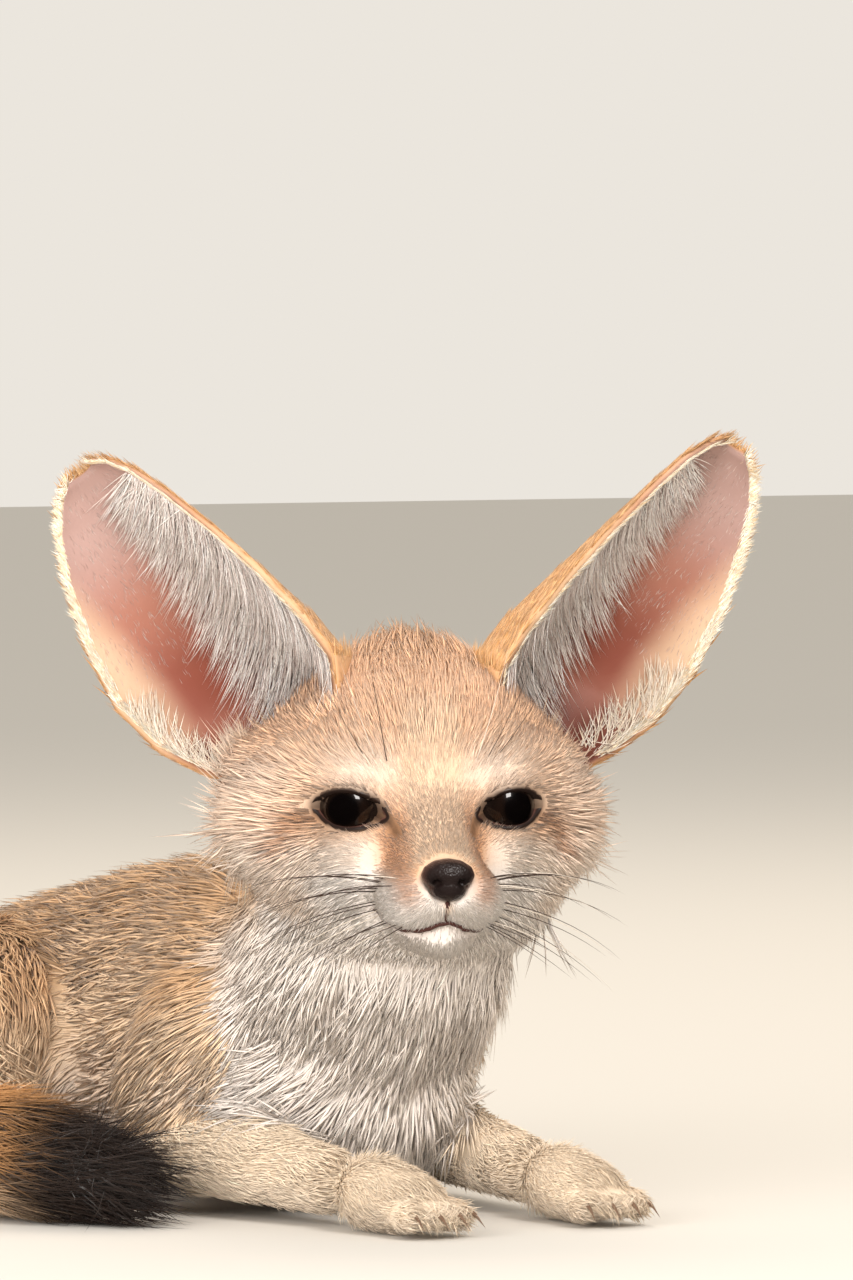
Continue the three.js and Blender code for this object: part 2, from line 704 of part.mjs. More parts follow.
const wholeHead = join([headForm(0), cheekRuff(), ...lids]);
const head = cut(wholeHead, noseForm(GAP), lipLine, philtrum, ...fissures, ...sockets);
addNode(headGroup, "head", head, coat);
addNode(headGroup, "nose", cut(noseForm(0), ...nostrils), leather);
for (const [end, side] of sides) {
  const ball = new THREE.Mesh(new THREE.SphereGeometry(EYE_RADIUS, 14, 9), eyeball);
  ball.name = `eye_${end}`;
  ball.position.copy(eyeCentre(side));
  headGroup.add(ball);
}
for (const [name, ear] of [["ear_right", rightEar], ["ear_left", leftEar]]) {
  addNode(headGroup, name, cut(join([earForm(ear), earFringe(ear)]), headAndRuff), paleCoat);
}

// Trunk and neck
const headInRoot = headAndRuff.transform(headGroup.matrix.toArray());
const trunk = (grow) => drawnOut(trunkCurve, trunkSections, { around: 18, along: 16, grow });
const neck = (grow) => drawnOut(neckCurve, neckSections, { around: 18, along: 7, grow });
const trunkGrown = trunk(GAP);
const neckGrown = join([neck(GAP), bib(GAP)]);
addNode(root, "torso", cut(trunk(0), headInRoot, underFloor), coat);
addNode(root, "neck", cut(join([neck(0), bib()]), headInRoot, trunkGrown), coat);

// Legs, feet and claws
for (const [end, side] of sides) {
  const [shoulder, elbow, wrist, foreTip] = Object.values(legs.fore).map((at) => joint(side, at));
  const upperArm = (grow) => legLength(shoulder, elbow, upperArmSections, { around: 12, along: 7, grow });
  const forearm = (grow) => legLength(elbow, wrist, forearmSections, { around: 10, along: 7, grow });
  const foreToes = toesOf(wrist, foreTip, 5.4, 2);
  const forepaw = (grow) => footForm(wrist, foreTip, pawSections, foreToes, grow);
  const body = [trunkGrown, neckGrown, headInRoot];
  addNode(root, `upper_arm_${end}`, cut(upperArm(0), ...body, underFloor), coat);
  addNode(root, `forearm_${end}`, cut(forearm(0), ...body, upperArm(GAP), underFloor), paleCoat);
  addNode(root, `forepaw_${end}`, cut(forepaw(0), forearm(GAP), underFloor), paleCoat);
  foreToes.forEach((toe, i) => {
    addNode(root, `fore_claw_${end}_${i + 1}`, cut(clawForm(toe), forepaw(GAP), underFloor), horn);
  });

  const [hip, knee, hock, heel, hindTip] = Object.values(legs.hind).map((at) => joint(side, at));
  const thigh = (grow) => legLength(hip, knee, thighSections, { around: 14, along: 8, grow });
  const shank = (grow) => legLength(knee, hock, shankSections, { around: 10, along: 6, grow });
  const hindToes = toesOf(heel, hindTip, 5, 2);
  const foot = (grow) => footForm(heel, hindTip, footSections, hindToes, grow);
  addNode(root, `thigh_${end}`, cut(thigh(0), trunkGrown, underFloor), coat);
  addNode(root, `shank_${end}`, cut(shank(0), trunkGrown, thigh(GAP), underFloor), coat);
  addNode(root, `hind_foot_${end}`, cut(foot(0), trunkGrown, thigh(GAP), shank(GAP), underFloor), paleCoat);
  hindToes.forEach((toe, i) => {
    addNode(root, `hind_claw_${end}_${i + 1}`, cut(clawForm(toe), foot(GAP), underFloor), horn);
  });
}

// Tail
for (const { name, from, to, flat } of tailLengths) {
  const core = drawnOut(tailCurve, coreSections, { around: 8, along: 7, flat, from, to });
  const ends = [];
  if (flat[0]) ends.push(endBlock(from, -1));
  if (flat[1]) ends.push(endBlock(to, 1));
  const length = cut(join([core, brush(from, to)]), ...ends, trunkGrown, underFloor);
  addNode(root, name, length, name === "tail_tip" ? tailTipCoat : tailCoat);
}

// The origin goes under the middle of the animal, on the floor
const box = new THREE.Box3().setFromObject(root, true);
const middle = box.getCenter(vec(0, 0, 0));
root.position.set(-middle.x, -middle.y, -box.min.z);

export default root;
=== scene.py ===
"""A life-size fennec fox lying with its head raised, dressed over its solid frame.

All shapes are worked out in millimetres and become metres when a mesh is made. The head has its
own directions: its x points to the fox's left, its y to the back and its z up, from the point
midway between the eyes.
"""

import json
import logging
import math
import sys
from dataclasses import dataclass, field, replace
from enum import Enum

import bpy
import numpy as np
from mathutils import Matrix, Vector
from mathutils.bvhtree import BVHTree

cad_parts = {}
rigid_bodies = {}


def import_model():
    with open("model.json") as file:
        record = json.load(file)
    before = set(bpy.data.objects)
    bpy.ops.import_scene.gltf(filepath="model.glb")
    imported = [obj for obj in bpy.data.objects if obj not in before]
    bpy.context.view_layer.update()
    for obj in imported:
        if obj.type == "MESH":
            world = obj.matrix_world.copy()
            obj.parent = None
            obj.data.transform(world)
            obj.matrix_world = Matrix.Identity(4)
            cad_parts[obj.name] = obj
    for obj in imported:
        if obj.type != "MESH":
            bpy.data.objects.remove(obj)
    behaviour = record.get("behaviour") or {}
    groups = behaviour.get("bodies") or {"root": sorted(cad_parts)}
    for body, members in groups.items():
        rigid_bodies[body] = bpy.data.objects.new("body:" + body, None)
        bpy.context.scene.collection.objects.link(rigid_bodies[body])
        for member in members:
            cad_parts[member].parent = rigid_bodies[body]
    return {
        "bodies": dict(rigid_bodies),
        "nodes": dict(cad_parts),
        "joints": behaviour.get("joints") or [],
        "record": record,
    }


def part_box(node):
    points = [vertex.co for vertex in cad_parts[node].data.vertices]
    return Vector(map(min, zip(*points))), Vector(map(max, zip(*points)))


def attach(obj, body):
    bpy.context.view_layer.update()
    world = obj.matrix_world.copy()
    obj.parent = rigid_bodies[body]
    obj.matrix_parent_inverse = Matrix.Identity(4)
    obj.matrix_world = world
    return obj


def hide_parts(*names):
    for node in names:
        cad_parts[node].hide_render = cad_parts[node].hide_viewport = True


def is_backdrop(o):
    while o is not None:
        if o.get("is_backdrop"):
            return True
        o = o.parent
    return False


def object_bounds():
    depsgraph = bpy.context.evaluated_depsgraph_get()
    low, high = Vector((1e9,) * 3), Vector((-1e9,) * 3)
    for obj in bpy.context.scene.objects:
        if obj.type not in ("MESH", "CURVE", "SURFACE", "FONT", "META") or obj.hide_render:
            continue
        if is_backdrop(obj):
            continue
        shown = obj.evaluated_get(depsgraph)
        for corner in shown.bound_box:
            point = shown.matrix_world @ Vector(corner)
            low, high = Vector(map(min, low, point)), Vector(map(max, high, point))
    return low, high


MM = 0.001
COLOUR = "Coat"
BAKE_MAP = "OFBake"
SEED = 7
log = logging.getLogger("fennec")


# Small helpers.


def linear(hex_colour: str) -> np.ndarray:
    """Turns an sRGB hex value to linear light.

    Args:
        hex_colour: The colour as "#RRGGBB".

    Returns:
        Three numbers from 0 to 1.
    """
    values = np.array([int(hex_colour[i : i + 2], 16) for i in (1, 3, 5)]) / 255
    return np.where(values <= 0.04045, values / 12.92, ((values + 0.055) / 1.055) ** 2.4)


def step(value: np.ndarray, start: float, end: float) -> np.ndarray:
    """Rises smoothly from 0 at start to 1 at end.

    Args:
        value: The numbers to grade.
        start: Where the rise starts.
        end: Where it ends.

    Returns:
        The grade of each number.
    """
    share = np.clip((value - start) / (end - start), 0, 1)
    return share * share * (3 - 2 * share)


def mixed(first: np.ndarray, second: np.ndarray, share: np.ndarray) -> np.ndarray:
    """Blends two sets of rows, or a set and one colour.

    Args:
        first: The rows at share 0.
        second: The rows, or the one row, at share 1.
        share: One number for each row.

    Returns:
        The blended rows.
    """
    return first + (second - first) * np.asarray(share)[:, None]


def unit(rows: np.ndarray) -> np.ndarray:
    """Gives each row the length 1."""
    return rows / np.maximum(np.linalg.norm(rows, axis=-1, keepdims=True), 1e-9)


def along_skin(rows: np.ndarray, normals: np.ndarray) -> np.ndarray:
    """Turns directions so that each lies in its surface.

    Args:
        rows: The directions.
        normals: The surface's unit normals.

    Returns:
        Unit directions square to the normals.
    """
    return unit(rows - normals * np.sum(rows * normals, axis=1, keepdims=True))


def to_path(points: np.ndarray, path: np.ndarray) -> tuple[np.ndarray, np.ndarray]:
    """Finds how far points lie from a path and where on it they are nearest.

    Args:
        points: The points, in two or three dimensions.
        path: The path's corners, in as many dimensions.

    Returns:
        The distance of each point and its share of the path's corners, from 0 to 1.
    """
    best = np.full(len(points), np.inf)
    place = np.zeros(len(points))
    for index in range(len(path) - 1):
        start = path[index]
        run = path[index + 1] - start
        share = np.clip((points - start) @ run / (run @ run), 0, 1)
        distance = np.linalg.norm(points - start - share[:, None] * run, axis=1)
        nearer = distance < best
        best = np.where(nearer, distance, best)
        place = np.where(nearer, (index + share) / (len(path) - 1), place)
    return best, place


def smooth_path(corners: list[list[float]], count: int) -> np.ndarray:
    """Rounds a list of corners to a smooth path through them.

    Args:
        corners: The points that the path goes through.
        count: How many points the path gets.

    Returns:
        The path's points.
    """
    points = np.array(corners, float)
    last = len(points) - 1
    rows = []
    for share in np.linspace(0, last, count):
        index = min(int(share), last - 1)
        t = share - index
        before = points[max(index - 1, 0)]
        start, end = points[index], points[index + 1]
        after = points[min(index + 2, last)]
        rows.append(
            0.5 * (2 * start + (end - before) * t
                   + (2 * before - 5 * start + 4 * end - after) * t ** 2
                   + (3 * start - before - 3 * end + after) * t ** 3)
        )
    return np.array(rows)


def mesh_object(name: str, points: np.ndarray, faces: np.ndarray) -> bpy.types.Object:
    """Makes a mesh object of faces with equally many corners.

    Args:
        name: The piece's name.
        points: Its vertices, in millimetres.
        faces: The vertex numbers of each face.

    Returns:
        The object, at the origin.
    """
    mesh = bpy.data.meshes.new(name)
    mesh.vertices.add(len(points))
    mesh.vertices.foreach_set("co", (points * MM).astype(np.float32).ravel())
    corners = faces.shape[1]
    mesh.loops.add(faces.size)
    mesh.loops.foreach_set("vertex_index", faces.astype(np.int32).ravel())
    mesh.polygons.add(len(faces))
    mesh.polygons.foreach_set("loop_start", np.arange(len(faces), dtype=np.int32) * corners)
    mesh.polygons.foreach_set("use_smooth", np.ones(len(faces), bool))
    mesh.update(calc_edges=True)
    piece = bpy.data.objects.new(name, mesh)
    bpy.context.scene.collection.objects.link(piece)
    return piece


def points_of(piece: bpy.types.Object) -> np.ndarray:
    """Reads a mesh's vertices, in millimetres."""
    values = np.zeros(len(piece.data.vertices) * 3)
    piece.data.vertices.foreach_get("co", values)
    return values.reshape(-1, 3) / MM


def move_points(piece: bpy.types.Object, points: np.ndarray) -> None:
    """Writes a mesh's vertices, given in millimetres."""
    piece.data.vertices.foreach_set("co", (points * MM).astype(np.float32).ravel())
    piece.data.update()


def normals_of(piece: bpy.types.Object) -> np.ndarray:
    """Reads a mesh's vertex normals."""
    values = np.zeros(len(piece.data.vertices) * 3)
    piece.data.vertex_normals.foreach_get("vector", values)
    return values.reshape(-1, 3)


def edges_of(piece: bpy.types.Object) -> np.ndarray:
    """Reads the two vertex numbers of each edge."""
    values = np.zeros(len(piece.data.edges) * 2, np.int32)
    piece.data.edges.foreach_get("vertices", values)
    return values.reshape(-1, 2)


def relaxed(rows: np.ndarray, edges: np.ndarray, rounds: int, hold: np.ndarray | float = 0.5) -> np.ndarray:
    """Draws each vertex's values towards those of its neighbours.

    Args:
        rows: The values, one row for each vertex.
        edges: The mesh's edges.
        rounds: How many times it is done.
        hold: How far each vertex goes each time, from 0 to 1.

    Returns:
        The smoothed values.
    """
    rows = rows.astype(float)
    count = len(rows)
    ends = np.concatenate([edges[:, 0], edges[:, 1]])
    others = np.concatenate([edges[:, 1], edges[:, 0]])
    links = np.maximum(np.bincount(ends, minlength=count), 1)[:, None]
    pull = np.broadcast_to(np.asarray(hold, float), (count,))[:, None]
    for _ in range(rounds):
        sums = np.stack([np.bincount(ends, rows[others, k], count) for k in range(rows.shape[1])], 1)
        rows = rows + (sums / links - rows) * pull
    return rows


def paint(piece: bpy.types.Object, colours: np.ndarray) -> None:
    """Stores a colour on each vertex of a piece."""
    layer = piece.data.color_attributes.new(COLOUR, "FLOAT_COLOR", "POINT")
    rgba = np.ones((len(colours), 4), np.float32)
    rgba[:, :3] = np.clip(colours, 0, 1)
    layer.data.foreach_set("color", rgba.ravel())


def select_only(piece: bpy.types.Object) -> None:
    """Selects one object and makes it the active one."""
    bpy.ops.object.select_all(action="DESELECT")
    piece.select_set(True)
    bpy.context.view_layer.objects.active = piece


def copied(node: bpy.types.Object, name: str) -> bpy.types.Object:
    """Copies a solid of the frame and merges its loose triangles.

    Args:
        node: The solid.
        name: The copy's name.

    Returns:
        The copy, which belongs to nothing.
    """
    piece = bpy.data.objects.new(name, node.data.copy())
    bpy.context.scene.collection.objects.link(piece)
    piece.data.materials.clear()
    select_only(piece)
    bpy.ops.object.mode_set(mode="EDIT")
    bpy.ops.mesh.select_all(action="SELECT")
    bpy.ops.mesh.remove_doubles(threshold=MM / 1000)
    bpy.ops.object.mode_set(mode="OBJECT")
    return piece


def apply_modifier(piece: bpy.types.Object, kind: str, **settings: float | str | bool) -> None:
    """Adds a modifier to a piece and applies it.

    Args:
        piece: The piece.
        kind: The modifier's kind.
        settings: Its settings.
    """
    select_only(piece)
    modifier = piece.modifiers.new(kind.lower(), kind)
    for key, value in settings.items():
        setattr(modifier, key, value)
    bpy.ops.object.modifier_apply(modifier=modifier.name)


def tree_of(piece: bpy.types.Object) -> BVHTree:
    """Makes a search tree of a piece's faces, in millimetres."""
    faces = [tuple(face.vertices) for face in piece.data.polygons]
    return BVHTree.FromPolygons([tuple(p) for p in points_of(piece)], faces)


def keep(piece: bpy.types.Object, slot: str, finish: bpy.types.Material, *nodes: str) -> None:
    """Fixes a finished piece to the body.

    Args:
        piece: The piece.
        slot: The name of a slot of the record; not used.
        finish: Its material.
        nodes: The solids that it stands for.
    """
    piece.data.materials.clear()
    piece.data.materials.append(finish)
    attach(piece, "root")
    if nodes:
        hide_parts(*nodes)
    log.info("%s: %d faces", piece.name, len(piece.data.polygons))


# Finishes.


def add_node(
    tree: bpy.types.NodeTree, kind: str, settings: dict[str, object], links: dict[str, object]
) -> bpy.types.Node:
    """Adds a node with its settings and links.

    Args:
        tree: The material's node tree.
        kind: The node's type.
        settings: Values by the name of an input, or of an attribute of the node.
        links: Output sockets by the name of the input that each goes to.

    Returns:
        The node.
    """
    node = tree.nodes.new(kind)
    for key, value in settings.items():
        if key in node.inputs:
            node.inputs[key].default_value = value
        else:
            setattr(node, key, value)
    for key, socket in links.items():
        tree.links.new(socket, node.inputs[key])
    return node


@dataclass(frozen=True)
class PaintedFinish:
    """A finish whose colour comes from the piece's own painted vertices.

    A bump on object coordinates gives the fine grain: hair roots on skin or the pebbles of a nose.
    """

    name: str
    roughness: float
    specular: float = 0.5
    sheen: float = 0.0
    sheen_roughness: float = 0.5
    coat: float = 0.0
    coat_roughness: float = 0.03
    grain: float = 0.0
    bump: float = 0.0
    bump_strength: float = 0.6
    cells: bool = False

    def build(self) -> bpy.types.Material:
        """Makes the material.

        Returns:
            The material.
        """
        material = bpy.data.materials.new(self.name)
        material.use_nodes = True
        tree = material.node_tree
        tree.nodes.clear()
        colour = add_node(tree, "ShaderNodeVertexColor", {"layer_name": COLOUR}, {})
        settings = {
            "Roughness": self.roughness,
            "Specular IOR Level": self.specular,
            "Sheen Weight": self.sheen,
            "Sheen Roughness": self.sheen_roughness,
            "Coat Weight": self.coat,
            "Coat Roughness": self.coat_roughness,
        }
        links = {"Base Color": colour.outputs["Color"]}
        if self.bump:
            place = add_node(tree, "ShaderNodeTexCoord", {}, {})
            scale = 1 / (self.grain * MM)
            kind, output = ("Voronoi", "Distance") if self.cells else ("Noise", "Fac")
            place_links = {"Vector": place.outputs["Object"]}
            pattern = add_node(tree, f"ShaderNodeTex{kind}", {"Scale": scale}, place_links)
            depth = {"Strength": self.bump_strength, "Distance": self.bump * MM}
            bump = add_node(tree, "ShaderNodeBump", depth, {"Height": pattern.outputs[output]})
            links["Normal"] = bump.outputs["Normal"]
        shader = add_node(tree, "ShaderNodeBsdfPrincipled", settings, links)
        add_node(tree, "ShaderNodeOutputMaterial", {}, {"Surface": shader.outputs["BSDF"]})
        return material


@dataclass(frozen=True)
class PlainFinish:
    """A finish of one colour."""

    name: str
    colour: str
    roughness: float
    specular: float = 0.5

    def build(self) -> bpy.types.Material:
        """Makes the material.

        Returns:
            The material.
        """
        material = bpy.data.materials.new(self.name)
        material.use_nodes = True
        tree = material.node_tree
        tree.nodes.clear()
        settings = {
            "Base Color": (*linear(self.colour), 1),
            "Roughness": self.roughness,
            "Specular IOR Level": self.specular,
        }
        shader = add_node(tree, "ShaderNodeBsdfPrincipled", settings, {})
        add_node(tree, "ShaderNodeOutputMaterial", {}, {"Surface": shader.outputs["BSDF"]})
        return material


@dataclass(frozen=True)
class Finishes:
    """Every finish of the fox."""

    # Hair keratin scatters light widely, with only a faint gloss.
    hair: PaintedFinish = PaintedFinish("fur_keratin", 0.62, specular=0.25, sheen=0.15)
    # Bare skin under the hair is matt and shows the hair roots as a fine grain.
    skin: PaintedFinish = PaintedFinish("skin_under_fur", 0.75, specular=0.2, grain=0.9, bump=0.35)
    # The inside of the ear is bare, smooth skin.
    ear: PaintedFinish = PaintedFinish("ear_skin", 0.55, specular=0.3, grain=1.6, bump=0.15)
    # The nose is moist and pebbled.
    nose: PaintedFinish = PaintedFinish(
        "nose_leather", 0.38, specular=0.5, grain=0.55, bump=0.22, cells=True
    )
    # The lids are smooth, dark and a little moist.
    lid: PaintedFinish = PaintedFinish("lid_skin", 0.42, specular=0.4, grain=0.7, bump=0.08)
    # The cornea is a wet, clear layer over a dark iris.
    eye: PaintedFinish = PaintedFinish(
        "cornea_over_dark_iris", 0.3, specular=0.08, coat=0.9, coat_roughness=0.02
    )
    # Whiskers are stiff, smooth hair.
    whisker: PaintedFinish = PaintedFinish("whisker_keratin", 0.35)
    # Claws are polished horn.
    horn: PlainFinish = PlainFinish("claw_horn", "#6B5443", 0.35)


# The frame.


@dataclass(frozen=True)
class HeadFrame:
    """The head's own directions, found from its two eyes."""

    turn: float = -26.0
    pitch: float = 3.0
    eye_half_spacing: float = 18.5
    eye_back: float = 1.0

    def rotation(self) -> np.ndarray:
        """Gives the matrix whose columns are the head's x, y and z."""
        turned = Matrix.Rotation(math.radians(self.turn), 3, "Z")
        return np.array(turned @ Matrix.Rotation(math.radians(self.pitch), 3, "X"))

    def middle(self) -> np.ndarray:
        """Finds the point midway between the eyes, in millimetres.

        Returns:
            The point.
        """
        corners = [np.array(corner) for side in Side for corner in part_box(f"eye_{side.value}")]
        between = np.mean(corners, axis=0) / MM
        return between - self.rotation() @ np.array([0, self.eye_back, 0])

    def to_head(self, points: np.ndarray) -> np.ndarray:
        """Turns points of the frame to the head's directions."""
        return (points - self.middle()) @ self.rotation()

    def from_head(self, points: np.ndarray) -> np.ndarray:
        """Turns points in the head's directions to the frame."""
        return np.asarray(points, float) @ self.rotation().T + self.middle()

    def direction(self, rows: np.ndarray) -> np.ndarray:
        """Turns directions of the head to the frame's."""
        return np.asarray(rows, float) @ self.rotation().T


class Side(Enum):
    """The fox's own left and right."""

    LEFT = "left"
    RIGHT = "right"

    @property
    def sign(self) -> int:
        """Gives 1 at the left and -1 at the right, as x does."""
        return 1 if self is Side.LEFT else -1


@dataclass(frozen=True)
class BodyFrame:
    """Where the body's curves lie, from the place of the head's middle."""

    drawn_middle: tuple[float, float, float] = (-14.0, -104.0, 106.0)
    tail_radius: tuple[tuple[float, float], ...] = (
        (0, 12), (0.17, 15.5), (0.4, 19), (0.7, 20), (0.9, 17), (1, 9),
    )
    tail_flesh: float = 0.7
    head_masses: tuple[tuple[tuple[float, float, float], tuple[float, float, float]], ...] = (
        ((0, 26, 8), (35, 27, 33)), ((0, 9, 13), (24, 17, 20)), ((20, 10.5, 6), (17, 14, 13)),
        ((29, 27, 6), (15, 14, 14)), ((24.5, 19, -8), (22, 19, 21)), ((17, 17, -24), (18.5, 19, 15)),
        ((0, 19, -26), (24, 23, 17)), ((0, 0, -26), (15, 21, 10)),
    )
    tail: tuple[tuple[float, float, float], ...] = (
        (0, 112, 38), (-10, 134, 25), (-38, 143, 19), (-70, 130, 18.5), (-90, 98, 19),
        (-97, 58, 19.5), (-95, 16, 19), (-86, -22, 17), (-72, -52, 11),
    )

    def shift(self, head: HeadFrame) -> np.ndarray:
        """Gives the step from the drawn places to the frame's."""
        return head.middle() - np.array(self.drawn_middle)

    def tail_path(self, head: HeadFrame) -> np.ndarray:
        """Gives the middle line of the tail, from root to tip."""
        return smooth_path([list(point) for point in self.tail], 60) + self.shift(head)


# Eye openings.


@dataclass(frozen=True)
class Almond:
    """The opening between the lids, drawn in the plane that the eye looks square to.

    Its x points away from the nose and its y up, from the middle of the eyeball.
    """

    head: HeadFrame
    side: Side
    half_width: float = 8.2
    corner: float = 2.4
    eyeball: float = 9.0
    turn: float = 24.0

    def centre(self) -> np.ndarray:
        """Gives the middle of the eyeball, in the head's directions."""
        return np.array([self.side.sign * self.head.eye_half_spacing, self.head.eye_back, 0.0])

    def axes(self) -> np.ndarray:
        """Gives the rows x, y and outwards of the opening, in the head's directions."""
        sine, cosine = math.sin(math.radians(self.turn)), math.cos(math.radians(self.turn))
        sign = self.side.sign
        return np.array([[sign * cosine, sine, 0.0], [0.0, 0.0, 1.0], [sign * sine, -cosine, 0.0]])

    def outline(self, count: int = 32) -> np.ndarray:
        """Draws the rim, over the top from the inner corner and back below.

        Args:
            count: How many points each of the two lids gets.

        Returns:
            The rim's points.
        """
        w = self.half_width
        inner, outer = np.array([-w - self.corner, -1.8]), np.array([w, 0.6])
        over = [inner, np.array([-0.72 * w, 5.4]), np.array([0.4 * w, 5.8]), outer]
        under = [outer, np.array([0.55 * w, -4.6]), np.array([-0.3 * w, -6.0]), inner]
        t = np.linspace(0, 1, count, endpoint=False)[:, None]
        return np.concatenate([
            (1 - t) ** 3 * a + 3 * t * (1 - t) ** 2 * b + 3 * t * t * (1 - t) * c + t ** 3 * d
            for a, b, c, d in (over, under)
        ])

    def outside(self, points: np.ndarray) -> np.ndarray:
        """Measures how far points in the head's directions lie outside the rim.

        Args:
            points: The points.

        Returns:
            The distance in the rim's plane, negative inside it and large behind the eye.
        """
        placed = (points - self.centre()) @ self.axes().T
        flat = placed[:, :2]
        rim = self.outline()
        closed = np.concatenate([rim, rim[:1]])
        distance, _ = to_path(flat, closed)
        inside = np.zeros(len(flat), bool)
        for start, end in zip(closed[:-1], closed[1:]):
            crosses = (start[1] > flat[:, 1]) != (end[1] > flat[:, 1])
            rise = np.where(crosses, end[1] - start[1], 1)
            reach = start[0] + (flat[:, 1] - start[1]) / rise * (end[0] - start[0])
            inside ^= crosses & (flat[:, 0] < reach)
        signed = np.where(inside, -distance, distance)
        return np.where(placed[:, 2] > -2, signed, 99.0)

    def spread(self, amount: float) -> np.ndarray:
        """Draws the rim moved outwards.

        Args:
            amount: How far it is moved.

        Returns:
            The points.
        """
        rim = self.outline()
        after = np.roll(rim, -1, axis=0) - np.roll(rim, 1, axis=0)
        square = unit(np.stack([-after[:, 1], after[:, 0]], 1))
        return rim + square * amount


# Markings.


@dataclass(frozen=True)
class Colours:
    """The coat's colours."""

    forehead: str = "#EBC09C"
    crown: str = "#DBAE88"
    nape: str = "#BE9A74"
    ticking: str = "#6A5038"
    cream: str = "#F0DDCC"
    white: str = "#EFE6DE"
    rust: str = "#C98650"
    corner: str = "#A97246"
    bridge: str = "#E9C9AA"
    muzzle_top: str = "#C9A98A"
    rim: str = "#2A1B15"
    lip: str = "#8A5F56"
    back: str = "#D1AA82"
    flank: str = "#E6C9A8"
    paw: str = "#F0DEC6"
    tail: str = "#CC9660"
    tail_tip: str = "#2B1E17"
    ear_back: str = "#CFA278"


@dataclass(frozen=True)
class Markings:
    """Where each colour of the coat lies, for the skin and the hair alike."""

    head: HeadFrame
    mouth: np.ndarray
    colours: Colours = Colours()
    rust_streak: tuple[tuple[float, float], ...] = ((9.6, -3), (10.6, -8), (10.2, -13), (8.8, -18))
    outer_line: tuple[tuple[float, float], ...] = ((26.8, -1), (29.8, -4), (33.2, -9.5))
    duct: tuple[tuple[float, float], ...] = ((12.0, -1.4), (10.2, -3.6), (9.6, -5.4))

    def on_head(self, points: np.ndarray) -> np.ndarray:
        """Colours the head.

        Args:
            points: Places in the head's directions.

        Returns:
            A colour for each.
        """
        c = self.colours
        x, y, z = np.abs(points[:, 0]), points[:, 1], points[:, 2]
        flat = np.stack([x, z], 1)
        front = step(-y, -16, -6)
        # The forehead darkens to the crown and nape and pales to the cheeks and brows.
        rows = np.tile(linear(c.forehead), (len(points), 1))
        rows = mixed(rows, linear(c.crown), step(z, 24, 40))
        rows = mixed(rows, linear(c.nape), step(y, 26, 44) * step(z, -14, 4))
        rows = mixed(rows, linear(c.cream), step(-z, 4, 11) * step(x, 11, 16))
        brow = np.exp(-(((x - 16) / 11) ** 2) - ((z - 8.5) / 5.5) ** 2) * front
        rows = mixed(rows, linear(c.cream), 0.85 * brow)
        rows = mixed(rows, linear(c.cream), 0.55 * step(x, 26, 34) * step(-z, -16, -4))
        rows = mixed(rows, linear(c.bridge), step(-y, 2, 8) * (1 - step(x, 5.5, 8)))
        # The lips, the chin and the spot beside the nose are white.
        white = step(-z, 12.5, 17) * step(-y, -4, 5)
        rows = mixed(rows, linear(c.white), white * step(x + (-z - 14) * 0.9, 5, 8))
        rows = mixed(rows, linear(c.white), step(-z, 23, 28))
        top = step(-y, 22, 29) * (1 - step(x, 4, 6.5)) * step(z, -20, -17)
        rows = mixed(rows, linear(c.muzzle_top), 0.4 * top)
        lips, _ = to_path(points, self.mouth)
        rows = mixed(rows, linear(c.lip), 0.75 * np.exp(-((lips / 1.3) ** 2)))
        # A rust streak runs down from each eye, and dark skin edges the lids and the tear duct.
        streak, _ = to_path(flat, np.array(self.rust_streak))
        rows = mixed(rows, linear(c.rust), 0.65 * np.exp(-((streak / 3.0) ** 2)) * front)
        line, _ = to_path(flat, np.array(self.outer_line))
        rows = mixed(rows, linear(c.corner), 0.7 * np.exp(-((line / 2.1) ** 2)) * step(-y, -20, -10))
        duct, _ = to_path(flat, np.array(self.duct))
        rows = mixed(rows, linear(c.rim), 0.9 * np.exp(-((duct / 1.5) ** 2)) * front)
        for side in Side:
            near = Almond(self.head, side).outside(points)
            rows = mixed(rows, linear(c.rim), 1 - step(near, 1.2, 2.2))
        return rows

    def on_body(self, points: np.ndarray, up: np.ndarray, part: np.ndarray) -> np.ndarray:
        """Colours the neck, trunk and legs.

        Args:
            points: Places in the frame.
            up: How far each place faces upwards, from -1 to 1.
            part: The sort of part that each place is on.

        Returns:
            A colour for each.
        """
        c = self.colours
        rows = np.tile(linear(c.flank), (len(points), 1))
        rows = mixed(rows, linear(c.back), step(up, 0.1, 0.8) * step(points[:, 2], 30, 60))
        rows = mixed(rows, linear(c.cream), step(-up, -0.1, 0.55))
        forward = self.head.middle()[1] - points[:, 1]
        chest = np.isin(part, [Part.NECK.value, Part.TORSO.value]) * step(forward, -72, -56)
        rows = mixed(rows, linear(c.white), 0.9 * chest * step(-points[:, 2], -94, -72))
        rows = mixed(rows, linear(c.nape), 0.8 * (part == Part.NECK.value) * step(up, 0.1, 0.9))
        paw = np.isin(part, [Part.PAW.value, Part.FOREARM.value])
        return mixed(rows, linear(c.paw), 0.8 * paw)

    def on_tail(self, share: np.ndarray, up: np.ndarray) -> np.ndarray:
        """Colours the tail.

        Args:
            share: How far along the tail each place is.
            up: How far it faces upwards.

        Returns:
            A colour for each.
        """
        c = self.colours
        rows = np.tile(linear(c.tail), (len(share), 1))
        rows = mixed(rows, linear(c.flank), 0.7 * step(-up, 0, 0.8))
        spot = np.exp(-(((share - 0.2) / 0.05) ** 2)) * step(up, 0, 0.6)
        rows = mixed(rows, linear(c.ticking), 0.45 * spot)
        return mixed(rows, linear(c.tail_tip), step(share, 0.82, 0.9))


# Coat.


